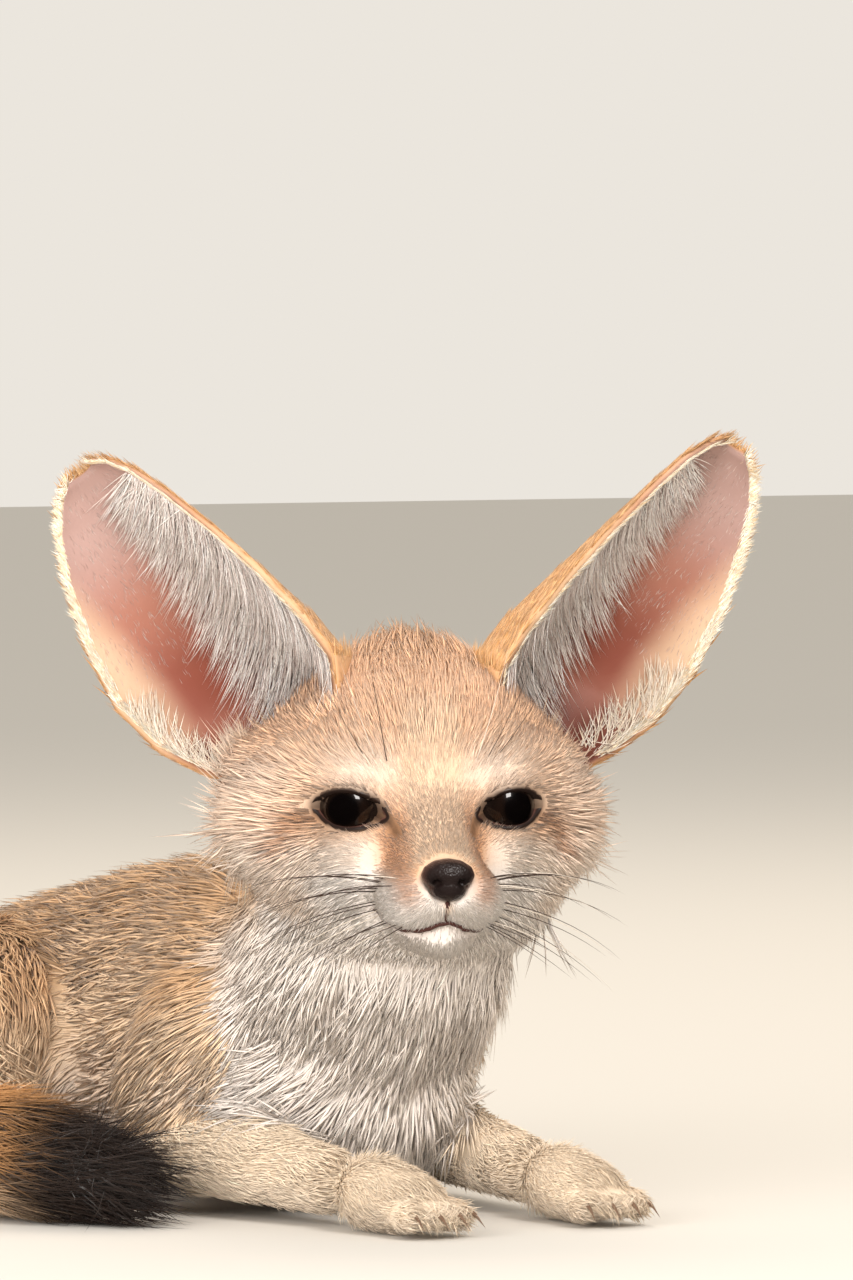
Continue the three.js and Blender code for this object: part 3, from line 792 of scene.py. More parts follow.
class Part(Enum):
    """The sorts of part that the coat changes between."""

    HEAD = 0
    NECK = 1
    TORSO = 2
    UPPER_ARM = 3
    FOREARM = 4
    PAW = 5
    THIGH = 6
    SHANK = 7
    TAIL = 8


@dataclass(frozen=True)
class CoatOf:
    """The coat of one part: its depth, its hair and the way that it lies."""

    depth: float
    length: float
    width: float
    density: float
    lift: float
    lie: tuple[float, float, float]


COATS = {
    Part.NECK: CoatOf(4.0, 15, 0.75, 1.2, 19, (0.0, 0.62, -0.78)),
    Part.TORSO: CoatOf(4.2, 16, 1.0, 0.6, 18, (0.0, 1.0, -0.22)),
    Part.UPPER_ARM: CoatOf(3.0, 12, 0.9, 0.8, 18, (16, 38, -40)),
    Part.FOREARM: CoatOf(1.4, 7, 0.55, 1.8, 17, (-12, -80, -7)),
    Part.PAW: CoatOf(1.3, 5.4, 0.45, 2.8, 19, (0, -1, -0.15)),
    Part.THIGH: CoatOf(3.4, 14, 1.0, 0.6, 18, (26, -64, -16)),
    Part.SHANK: CoatOf(1.8, 8, 0.75, 1.1, 16, (3, 72, -14)),
    Part.TAIL: CoatOf(0.2, 18, 0.65, 1.4, 21, (0, 1, 0)),
}

FLESH = {
    "head": Part.HEAD,
    "eye_right": Part.HEAD,
    "eye_left": Part.HEAD,
    "neck": Part.NECK,
    "torso": Part.TORSO,
    "upper_arm_right": Part.UPPER_ARM,
    "upper_arm_left": Part.UPPER_ARM,
    "forearm_right": Part.FOREARM,
    "forearm_left": Part.FOREARM,
    "forepaw_right": Part.PAW,
    "forepaw_left": Part.PAW,
    "thigh_right": Part.THIGH,
    "thigh_left": Part.THIGH,
    "shank_right": Part.SHANK,
    "shank_left": Part.SHANK,
    "hind_foot_right": Part.PAW,
    "hind_foot_left": Part.PAW,
    "tail_root": Part.TAIL,
    "tail_bend": Part.TAIL,
    "tail_middle": Part.TAIL,
    "tail_tip": Part.TAIL,
}


@dataclass
class Tufts:
    """A set of tapered tufts, each a small closed body that lies along the skin."""

    root: np.ndarray
    normal: np.ndarray
    lie: np.ndarray
    length: np.ndarray
    width: np.ndarray
    lift: np.ndarray
    colour: np.ndarray
    place: np.ndarray
    rings: int = 2
    curl: float = 0.45
    sunk: float = 0.4
    sunk_share: float = 0.05
    # How dark each tuft's root is painted, as painted shade among the hair, and how soon along the tuft it
    # fades.
    shade: float = 0.82
    shade_end: float = 1.6
    taper: float = 0.55
    flatness: float = 0.6
    lowest: float = 0.2
    patch: float = 0.003

    def part(self, chosen: np.ndarray | slice) -> "Tufts":
        """Gives the tufts of one set of rows."""
        keys = ("root", "normal", "lie", "length", "width", "lift", "colour", "place")
        return replace(self, **{key: getattr(self, key)[chosen] for key in keys})

    def build(self, name: str) -> bpy.types.Object:
        """Makes one mesh of all the tufts.

        Args:
            name: The piece's name.

        Returns:
            The piece, with its colours and its bake map.
        """
        count, rings = len(self.root), self.rings
        per = rings * 3 + 1
        side = unit(np.cross(self.normal, self.lie))
        rise = np.sin(self.lift)[:, None]
        run = np.cos(self.lift)[:, None]
        length = self.length[:, None]
        points = np.zeros((count, per, 3))
        tones = np.zeros((count, per, 3))
        map_places = np.zeros((count, per, 2))
        for ring in range(rings + 1):
            t = ring / rings
            centre = self.root - self.normal * np.minimum(self.sunk, self.sunk_share * length)
            centre = centre + length * (self.lie * run * t + self.normal * rise * t * (1 - self.curl * t))
            radius = (self.width / 2 * (1 - t) ** self.taper)[:, None]
            # Each tuft's colour is darkened at its root as painted shade among the hair, and reaches its full
            # colour towards the tip.
            tone = self.colour * (self.shade + (1 - self.shade) * min(1, t * self.shade_end))
            if ring == rings:
                points[:, -1] = centre
                tones[:, -1] = tone
                map_places[:, -1] = self.place + np.array([0, self.patch])
                continue
            corners = (-side * radius, side * radius, self.normal * radius * self.flatness)
            for k, corner in enumerate(corners):
                points[:, ring * 3 + k] = centre + corner
                tones[:, ring * 3 + k] = tone
                map_places[:, ring * 3 + k] = self.place + self.patch * np.array([(k - 1) / 2, t])
        faces = [(0, 2, 1)]
        for ring in range(rings):
            for k in range(3):
                a, b = ring * 3 + k, ring * 3 + (k + 1) % 3
                if ring == rings - 1:
                    faces.append((a, b, per - 1))
                else:
                    faces.extend([(a, b, b + 3), (a, b + 3, a + 3)])
        pattern = np.array(faces)
        triangles = (pattern[None] + np.arange(count)[:, None, None] * per).reshape(-1, 3)
        flat = points.reshape(-1, 3)
        flat[:, 2] = np.maximum(flat[:, 2], self.lowest)
        piece = mesh_object(name, flat, triangles)
        paint(piece, tones.reshape(-1, 3))
        layer = piece.data.uv_layers.new(name=BAKE_MAP)
        corner_places = map_places.reshape(-1, 2)[triangles.ravel()]
        layer.data.foreach_set("uv", corner_places.astype(np.float32).ravel())
        return piece


@dataclass
class Strands:
    """Long single hairs, each a thin tube drawn out to a point."""

    radius: float = 0.14
    sides: int = 4
    taper: float = 0.7

    def build(self, name: str, paths: list[np.ndarray], colours: list[str]) -> bpy.types.Object:
        """Makes one mesh of all the hairs.

        Args:
            name: The piece's name.
            paths: The middle line of each hair, from root to tip.
            colours: The colour of each hair.

        Returns:
            The piece.
        """
        points, tones, faces = [], [], []
        for path, colour in zip(paths, colours):
            first = len(points)
            run = unit(np.gradient(path, axis=0))
            side = unit(np.cross(run, np.array([0.1, 0.2, 1.0])))
            over = np.cross(side, run)
            for k in range(len(path) - 1):
                size = self.radius * (1 - k / (len(path) - 1)) ** self.taper
                for turn in range(self.sides):
                    angle = 2 * math.pi * turn / self.sides
                    points.append(path[k] + size * (math.cos(angle) * side[k] + math.sin(angle) * over[k]))
                    tones.append(linear(colour))
            points.append(path[-1])
            tones.append(linear(colour))
            tip = len(points) - 1
            faces.extend([(first, first + 2, first + 1), (first, first + 3, first + 2)])
            for k in range(len(path) - 1):
                for turn in range(self.sides):
                    a = first + k * self.sides + turn
                    b = first + k * self.sides + (turn + 1) % self.sides
                    if k == len(path) - 2:
                        faces.append((a, b, tip))
                    else:
                        faces.extend([(a, b, b + self.sides), (a, b + self.sides, a + self.sides)])
        piece = mesh_object(name, np.array(points), np.array(faces))
        paint(piece, np.array(tones))
        return piece


# Skin and coat.


@dataclass
class Skin:
    """The skin under the coat: one smooth surface over every part of flesh."""

    head: HeadFrame
    body: BodyFrame
    markings: Markings
    grow: float = 0.4
    voxel: float = 1.5
    proud: float = 1.07
    long_hair: float = 7.5
    first_rounds: int = 10
    long_rounds: int = 24
    join_rounds: int = 50
    value_rounds: int = 16
    last_rounds: int = 3
    lowest: float = 0.5
    # The share of its colour that the skin keeps, darkened as painted shade under the hair.
    shade: float = 0.8
    socket_depth: float = 1.6
    piece: bpy.types.Object | None = None
    parts: np.ndarray | None = None
    whole: BVHTree | None = None
    values: dict[str, np.ndarray] = field(default_factory=dict)

    def build(self, nodes: dict[str, bpy.types.Object]) -> bpy.types.Object:
        """Joins copies of the solids to one surface and smooths it.

        Args:
            nodes: The solids of the frame.

        Returns:
            The skin.
        """
        copies = []
        for name, part in FLESH.items():
            piece = copied(nodes[name], f"flesh_{name}")
            apply_modifier(piece, "DISPLACE", strength=self.grow * MM, mid_level=0.0)
            layer = piece.data.attributes.new("part", "INT", "FACE")
            layer.data.foreach_set("value", np.full(len(piece.data.polygons), part.value, np.int32))
            copies.append(piece)
        select_only(copies[0])
        for piece in copies:
            piece.select_set(True)
        bpy.ops.object.join()
        piece = copies[0]
        piece.name = "skin"
        tree = tree_of(piece)
        labels = np.zeros(len(piece.data.polygons), np.int32)
        piece.data.attributes["part"].data.foreach_get("value", labels)
        piece.data.remesh_voxel_size = self.voxel * MM
        bpy.ops.object.voxel_remesh()
        self.piece = self.largest(piece)
        points = points_of(self.piece)
        nearest = [tree.find_nearest(point)[2] for point in points]
        self.parts = labels[np.array(nearest)]
        edges = edges_of(self.piece)
        local = self.head.to_head(points)
        self.values = self.coat_values(points, local, normals_of(self.piece))
        calm = self.calmness(local)
        points = self.without_locks(points)
        points = relaxed(points, edges, self.first_rounds, 0.5 * calm)
        long_haired = np.isin(self.parts, [Part.TAIL.value, Part.NECK.value])
        long_haired |= (self.parts == Part.HEAD.value) & (self.values["length"][:, 0] > self.long_hair)
        spread = relaxed(long_haired[:, None].astype(float), edges, 6)[:, 0]
        points = relaxed(points, edges, self.long_rounds, 0.6 * spread)
        meeting = edges[self.parts[edges[:, 0]] != self.parts[edges[:, 1]]]
        between = np.zeros((len(points), 1))
        between[meeting.ravel()] = 1
        between = np.clip(4 * relaxed(between, edges, 18)[:, 0], 0, 1)
        points = relaxed(points, edges, self.join_rounds, 0.6 * between)
        for key in self.values:
            self.values[key] = relaxed(self.values[key], edges, self.value_rounds)
        move_points(self.piece, points)
        points = points - normals_of(self.piece) * self.values["depth"]
        points = relaxed(points, edges, self.last_rounds, 0.4 * calm)
        move_points(self.piece, points)
        self.whole = tree_of(self.piece)
        points = self.with_sockets(points)
        points[:, 2] = np.maximum(points[:, 2], self.lowest)
        move_points(self.piece, points)
        return self.piece

    def largest(self, piece: bpy.types.Object) -> bpy.types.Object:
        """Keeps only the largest loose piece of a mesh.

        Args:
            piece: The mesh.

        Returns:
            The piece that stays.
        """
        select_only(piece)
        bpy.ops.object.mode_set(mode="EDIT")
        bpy.ops.mesh.select_all(action="SELECT")
        bpy.ops.mesh.separate(type="LOOSE")
        bpy.ops.object.mode_set(mode="OBJECT")
        pieces = sorted(bpy.context.selected_objects, key=lambda one: len(one.data.vertices))
        for small in pieces[:-1]:
            bpy.data.objects.remove(small)
        pieces[-1].name = "skin"
        return pieces[-1]

    def without_locks(self, points: np.ndarray) -> np.ndarray:
        """Draws the locks of the head and tail back to the flesh, since the coat takes their place.

        Args:
            points: The skin's vertices.

        Returns:
            The changed vertices.
        """
        points = points.copy()
        path = self.body.tail_path(self.head)
        here = self.parts == Part.TAIL.value
        distance, share = to_path(points[here], path)
        marks = np.linspace(0, 1, len(path))
        middle = np.stack([np.interp(share, marks, path[:, k]) for k in range(3)], 1)
        table = np.array(self.body.tail_radius)
        most = np.interp(share, table[:, 0], table[:, 1]) * self.body.tail_flesh
        # Between its ends the tail is brought to its exact width, and the ends are only drawn in.
        between_ends = (share > 0.04) & (share < 0.97)
        scale = most / np.maximum(distance, 1e-6)
        scale = np.where(between_ends, scale, np.minimum(1, scale))
        points[here] = middle + (points[here] - middle) * scale[:, None]
        local = self.head.to_head(points)
        side = np.sign(local[:, 0])
        folded = local * np.stack([side, np.ones(len(local)), np.ones(len(local))], 1)
        ways = [(folded - np.array(middle)) / np.array(size) for middle, size in self.body.head_masses]
        reach = np.array([np.linalg.norm(way, axis=1) for way in ways])
        nearest = np.argmin(reach, axis=0)
        least = np.min(reach, axis=0)
        middles = np.array([middle for middle, _ in self.body.head_masses])[nearest]
        drawn = middles + (folded - middles) * np.minimum(1, self.proud / least)[:, None]
        drawn[:, 0] *= side
        behind = (self.parts == Part.HEAD.value) & (local[:, 1] > 3)
        points[behind] = self.head.from_head(drawn[behind])
        return points

    def calmness(self, local: np.ndarray) -> np.ndarray:
        """Says how freely each place may be smoothed.

        Args:
            local: Places in the head's directions.

        Returns:
            A number for each, small on the face and feet and 1 elsewhere.
        """
        face = (self.parts == Part.HEAD.value) * step(-local[:, 1], -14, -4)
        paws = (self.parts == Part.PAW.value) * 1.0
        return 1 - 0.75 * face - 0.5 * paws

    def coat_values(
        self, points: np.ndarray, local: np.ndarray, normals: np.ndarray
    ) -> dict[str, np.ndarray]:
        """Works out the coat at each vertex of the skin.

        Args:
            points: The vertices.
            local: The same in the head's directions.
            normals: The vertex normals.

        Returns:
            The coat's depth, length, width, density, lift and lie, each with a row for each vertex.
        """
        count = len(points)
        values = {key: np.zeros((count, 1)) for key in ("depth", "length", "width", "density", "lift")}
        lie = np.zeros((count, 3))
        side = np.where(points[:, 0] > self.body.shift(self.head)[0], 1.0, -1.0)
        for part, coat in COATS.items():
            here = self.parts == part.value
            for key in values:
                values[key][here] = getattr(coat, key)
            rows = np.tile(np.array(coat.lie, float), (here.sum(), 1))
            rows[:, 0] *= side[here]
            lie[here] = unit(rows)
        self.lay_tail(points, lie, values)
        self.lay_head(local, lie, values)
        values["lie"] = lie
        return values

    def lay_tail(self, points: np.ndarray, lie: np.ndarray, values: dict[str, np.ndarray]) -> None:
        """Lays the tail's hair along its curve and lengthens it to the brush.

        Args:
            points: The vertices.
            lie: The lie of the hair, which is changed.
            values: The coat, which is changed.
        """
        path = self.body.tail_path(self.head)
        here = self.parts == Part.TAIL.value
        _, share = to_path(points[here], path)
        run = unit(np.gradient(path, axis=0))
        index = np.clip((share * (len(path) - 1)).astype(int), 0, len(path) - 1)
        lie[here] = run[index]
        values["length"][here, 0] = 13 + 6 * step(share, 0.05, 0.4) + 2 * step(share, 0.75, 0.95)

    def lay_head(self, local: np.ndarray, lie: np.ndarray, values: dict[str, np.ndarray]) -> None:
        """Lays the head's hair back from the nose and grades its length.

        Args:
            local: The vertices in the head's directions.
            lie: The lie of the hair, which is changed.
            values: The coat, which is changed.
        """
        here = self.parts == Part.HEAD.value
        spot = local[here]
        x, y, z = np.abs(spot[:, 0]), spot[:, 1], spot[:, 2]
        nose = np.array([0, -36.0, -16.0])
        way = unit(spot - nose)
        cheek = step(x, 16, 30) * step(-z, -8, 6)
        under_ear = step(x, 24, 32) * step(-z, -20, -8) * step(z, -12, -4)
        under_ear = under_ear * np.where(spot[:, 0] > 0, 0.45, 1.0)
        way[:, 0] += np.sign(spot[:, 0]) * (0.15 * cheek + 0.7 * under_ear)
        way[:, 2] -= 0.8 * cheek * (1 - under_ear)
        crown = step(z, 12, 34)
        way[:, 2] += 0.6 * crown
        lie[here] = self.head.direction(unit(way))
        muzzle = step(-y, 6, 16)
        length = 5.2 + 2.6 * step(z, 10, 26) + 4.5 * step(z, 28, 42)
        length += 5.5 * step(x, 20, 34) * step(-z, -10, 2) + 4 * step(y, 8, 26)
        length += 4 * step(-z, 22, 34) * step(y, -8, 10)
        length = length * (1 - 0.42 * muzzle)
        near = np.minimum(*[Almond(self.head, one).outside(spot) for one in Side])
        length = length * (0.45 + 0.55 * step(near, 1.5, 8))
        deep = 0.5 + 2.6 * step(length, 6, 13)
        length = length + 5 * under_ear - 2.5 * step(-z, 10, 18) * step(x, 24, 32)
        values["length"][here, 0] = length
        values["depth"][here, 0] = deep
        values["width"][here, 0] = 0.24 + 0.03 * length
        values["density"][here, 0] = 6.4 - 4.6 * step(length, 3, 11)
        values["lift"][here, 0] = 17 + 3 * step(length, 5, 12) + 18 * under_ear

    def with_sockets(self, points: np.ndarray) -> np.ndarray:
        """Draws the skin behind the eyeballs back, so that they show between the lids.

        Args:
            points: The skin's vertices.

        Returns:
            The changed vertices.
        """
        local = self.head.to_head(points)
        for side in Side:
            opening = Almond(self.head, side)
            behind = opening.outside(local) < 0.7
            arm = local[behind] - opening.centre()
            local[behind] = opening.centre() + unit(arm) * (opening.eyeball - self.socket_depth)
        return self.head.from_head(local)

    def colours(self, points: np.ndarray, normals: np.ndarray, parts: np.ndarray) -> np.ndarray:
        """Colours places on the skin.

        Args:
            points: The places.
            normals: The way each faces.
            parts: The sort of part that each is on.

        Returns:
            A colour for each.
        """
        up = normals[:, 2]
        rows = self.markings.on_body(points, up, parts)
        local = self.head.to_head(points)
        on_head = parts == Part.HEAD.value
        rows[on_head] = self.markings.on_head(local[on_head])
        on_tail = parts == Part.TAIL.value
        _, share = to_path(points[on_tail], self.body.tail_path(self.head))
        rows[on_tail] = self.markings.on_tail(share, up[on_tail])
        return rows

    def dress(self, finishes: Finishes) -> None:
        """Colours the skin and puts it in the place of the solids of flesh.

        Args:
            finishes: The fox's finishes.
        """
        points = points_of(self.piece)
        colours = self.colours(points, normals_of(self.piece), self.parts)
        colours = relaxed(colours, edges_of(self.piece), 2)
        # The skin's colours are darkened as painted shade under the hair.
        paint(self.piece, colours * self.shade)
        select_only(self.piece)
        bpy.ops.object.shade_smooth()
        nodes = [name for name in FLESH if not name.startswith("eye")]
        keep(self.piece, "fur", finishes.skin.build(), *nodes)


@dataclass
class Coat:
    """The fur over the skin, laid as tufts that overlap."""

    skin: Skin
    mouth: np.ndarray
    box: tuple[Vector, Vector]
    largest_piece: int = 195000
    calm_rounds: int = 6
    short: float = 6.5
    spare: float = 1.5
    unwrap_share: float = 0.06
    unwrap_angle: float = 66.0
    from_floor: float = 0.8
    from_lids: float = 1.5
    from_mouth: float = 1.2
    from_duct: float = 1.5
    nose_middle: tuple[float, float, float] = (0, -35, -14.2)
    nose_size: tuple[float, float, float] = (7.6, 6.5, 6.2)
    ticked_share: float = 0.3
    ticked_strength: float = 0.6
    lift_range: tuple[float, float] = (5, 48)
    shortest: float = 2.0

    def sample(self, random: np.random.Generator) -> tuple[np.ndarray, ...]:
        """Chooses the roots of the tufts.

        Args:
            random: The source of chance.

        Returns:
            The triangle of each root and its three weights.
        """
        mesh = self.skin.piece.data
        mesh.calc_loop_triangles()
        triangles = np.zeros(len(mesh.loop_triangles) * 3, np.int32)
        mesh.loop_triangles.foreach_get("vertices", triangles)
        triangles = triangles.reshape(-1, 3)
        points = points_of(self.skin.piece)
        a, b, c = (points[triangles[:, k]] for k in range(3))
        area = np.linalg.norm(np.cross(b - a, c - a), axis=1) / 2
        density = self.skin.values["density"][triangles, 0].mean(axis=1)
        wanted = area * density
        count = np.floor(wanted + random.random(len(wanted))).astype(int)
        chosen = np.repeat(np.arange(len(triangles)), count)
        first, second = random.random((2, len(chosen)))
        root = np.sqrt(first)
        weights = np.stack([1 - root, root * (1 - second), root * second], 1)
        return triangles[chosen], weights

    def unwrapped(self) -> tuple[BVHTree, np.ndarray, np.ndarray]:
        """Unwraps a plain copy of the skin.

        Returns:
            A search tree of its triangles, their corners and the map's place of each corner.
        """
        plain = copied(self.skin.piece, "skin_unwrap")
        apply_modifier(plain, "DECIMATE", ratio=self.unwrap_share)
        apply_modifier(plain, "TRIANGULATE")
        select_only(plain)
        bpy.ops.object.mode_set(mode="EDIT")
        bpy.ops.mesh.select_all(action="SELECT")
        bpy.ops.uv.smart_project(angle_limit=math.radians(self.unwrap_angle), island_margin=0.004)
        bpy.ops.object.mode_set(mode="OBJECT")
        faces = np.array([face.vertices[:] for face in plain.data.polygons])
        uv = np.zeros(len(plain.data.loops) * 2)
        plain.data.uv_layers.active.data.foreach_get("uv", uv)
        tree, points = tree_of(plain), points_of(plain)
        bpy.data.objects.remove(plain)
        return tree, points[faces], uv.reshape(-1, 3, 2)

    def map_places(self, roots: np.ndarray) -> np.ndarray:
        """Finds each root's place on the unwrap.

        Args:
            roots: The roots.

        Returns:
            The places.
        """
        tree, corners, maps = self.unwrapped()
        index = np.array([tree.find_nearest(root)[2] for root in roots])
        a, b, c = (corners[index, k] for k in range(3))
        normal = np.cross(b - a, c - a)
        whole = np.sum(normal * normal, axis=1)
        second = np.sum(np.cross(c - a, a - roots) * -normal, axis=1) / whole
        third = np.sum(np.cross(b - a, roots - a) * normal, axis=1) / whole
        weights = np.clip(np.stack([1 - second - third, second, third], 1), 0, 1)
        weights /= weights.sum(axis=1, keepdims=True)
        return np.sum(maps[index] * weights[:, :, None], axis=1)

    def waves(self, points: np.ndarray, size: float, phase: float) -> np.ndarray:
        """Gives a soft wandering number over space.

        Args:
            points: The places.
            size: The width of its waves.
            phase: Sets one such pattern apart from another.

        Returns:
            A number from about -1 to 1 for each.
        """
        p = points / size
        first = np.sin(p[:, 0] * 1.7 + phase) * np.cos(p[:, 1] * 1.3 - phase + p[:, 2])
        second = np.sin(p[:, 2] * 2.1 + 1.7 * phase + p[:, 1]) * np.cos(p[:, 0] * 0.9 - p[:, 2] * 0.6)
        return first * 0.6 + second * 0.6

    def build(self, random: np.random.Generator) -> tuple[Tufts, np.ndarray]:
        """Works out every tuft of the body's coat.

        Args:
            random: The source of chance.

        Returns:
            The tufts, in the order of the parts they grow on, and the sort of part of each.
        """
        skin = self.skin
        corners, weights = self.sample(random)
        points = points_of(skin.piece)
        normals = unit(relaxed(normals_of(skin.piece), edges_of(skin.piece), self.calm_rounds))

        def at(rows: np.ndarray) -> np.ndarray:
            """Reads rows of the skin's vertices at the roots."""
            return np.sum(rows[corners] * weights[:, :, None], axis=1)

        root, normal = at(points), unit(at(normals))
        parts = skin.parts[corners[np.arange(len(corners)), np.argmax(weights, axis=1)]]
        local = skin.head.to_head(root)
        clear = root[:, 2] > self.from_floor
        for side in Side:
            clear &= Almond(skin.head, side).outside(local) > self.from_lids
        clear &= to_path(local, self.mouth)[0] > self.from_mouth
        folded = np.stack([np.abs(local[:, 0]), local[:, 2]], 1)
        duct, _ = to_path(folded, np.array(skin.markings.duct))
        clear &= (duct > self.from_duct) | (local[:, 1] > 4)
        nose = (local - np.array(self.nose_middle)) / np.array(self.nose_size)
        clear &= np.linalg.norm(nose, axis=1) > 1
        order = np.flatnonzero(clear)
        order = order[np.argsort(parts[order], kind="stable")]
        root, normal, parts = root[order], normal[order], parts[order]
        corners, weights = corners[order], weights[order]
        count = len(root)
        lie = along_skin(at(skin.values["lie"]), normal)
        side = np.cross(normal, lie)
        length = at(skin.values["length"])[:, 0]
        turn = 0.3 * self.waves(root, 7, 1.0) + 0.16 * random.standard_normal(count)
        turn = turn * np.where(parts == Part.HEAD.value, 0.7, 1.0)
        lie = lie * np.cos(turn)[:, None] + side * np.sin(turn)[:, None]
        lift = np.radians(at(skin.values["lift"])[:, 0])
        lift = lift * (1 + 0.35 * self.waves(root, 5, 4.0) + 0.25 * random.standard_normal(count))
        colour = skin.colours(root, normal, parts)
        colour *= (1 + 0.1 * random.standard_normal(count))[:, None]
        colour *= (1 + 0.07 * self.waves(root, 9, 2.0))[:, None]
        dorsal = step(normal[:, 2], 0, 0.7) * np.isin(parts, [Part.NECK.value, Part.TORSO.value])
        crown = (parts == Part.HEAD.value) * step(skin.head.to_head(root)[:, 2], 26, 44) * 0.5
        ticked = random.random(count) < self.ticked_share * np.maximum(dorsal, crown)
        dark = linear(skin.markings.colours.ticking)
        colour[ticked] = mixed(colour[ticked], dark, np.full(ticked.sum(), self.ticked_strength))
        length = length * (1 + 0.2 * random.standard_normal(count)).clip(0.5, 1.5)
        length = self.fitted(root, lie, length)
        width = at(skin.values["width"])[:, 0] * (0.8 + 0.4 * random.random(count))
        lift = np.clip(lift, *np.radians(self.lift_range))
        return Tufts(root, normal, lie, length, width, lift, colour, self.map_places(root)), parts

    def fitted(self, root: np.ndarray, lie: np.ndarray, length: np.ndarray) -> np.ndarray:
        """Shortens the hair that would pass the outermost solids by too much.

        Args:
            root: The roots.
            lie: The way the hair lies.
            length: Its length.

        Returns:
            The lengths.
        """
        low, high = (np.array(corner) / MM for corner in self.box)
        room = np.where(lie > 0, high + self.spare - root, root - low + self.spare)
        reach = np.min(room / np.maximum(np.abs(lie), 1e-3), axis=1)
        return np.clip(length, self.shortest, np.maximum(reach, self.shortest))

    def dress(self, tufts: Tufts, parts: np.ndarray, finish: bpy.types.Material) -> None:
        """Makes the coat's pieces, each under the size that a piece may have.

        Args:
            tufts: All the tufts.
            parts: The sort of part that each is on.
            finish: The hair's material.
        """
        groups = {
            "coat_head": [Part.HEAD],
            "coat_neck": [Part.NECK],
            "coat_body": [Part.TORSO],
            "coat_forelegs": [Part.UPPER_ARM, Part.FOREARM],
            "coat_paws": [Part.PAW],
            "coat_hind_legs": [Part.THIGH, Part.SHANK],
            "coat_tail": [Part.TAIL],
        }
        for name, members in groups.items():
            here = np.isin(parts, [member.value for member in members])
            for rings, fits in ((1, tufts.length < self.short), (2, tufts.length >= self.short)):
                rows = np.flatnonzero(here & fits)
                most = self.largest_piece // (6 * rings - 2)
                for number, first in enumerate(range(0, len(rows), most), 1):
                    chosen = tufts.part(rows[first : first + most])
                    chosen.rings = rings
                    kind = "short" if rings == 1 else "long"
                    piece = chosen.build(f"{name}_{kind}_{number}")
                    keep(piece, "tail_fur" if name == "coat_tail" else "fur", finish)


# Eyes.


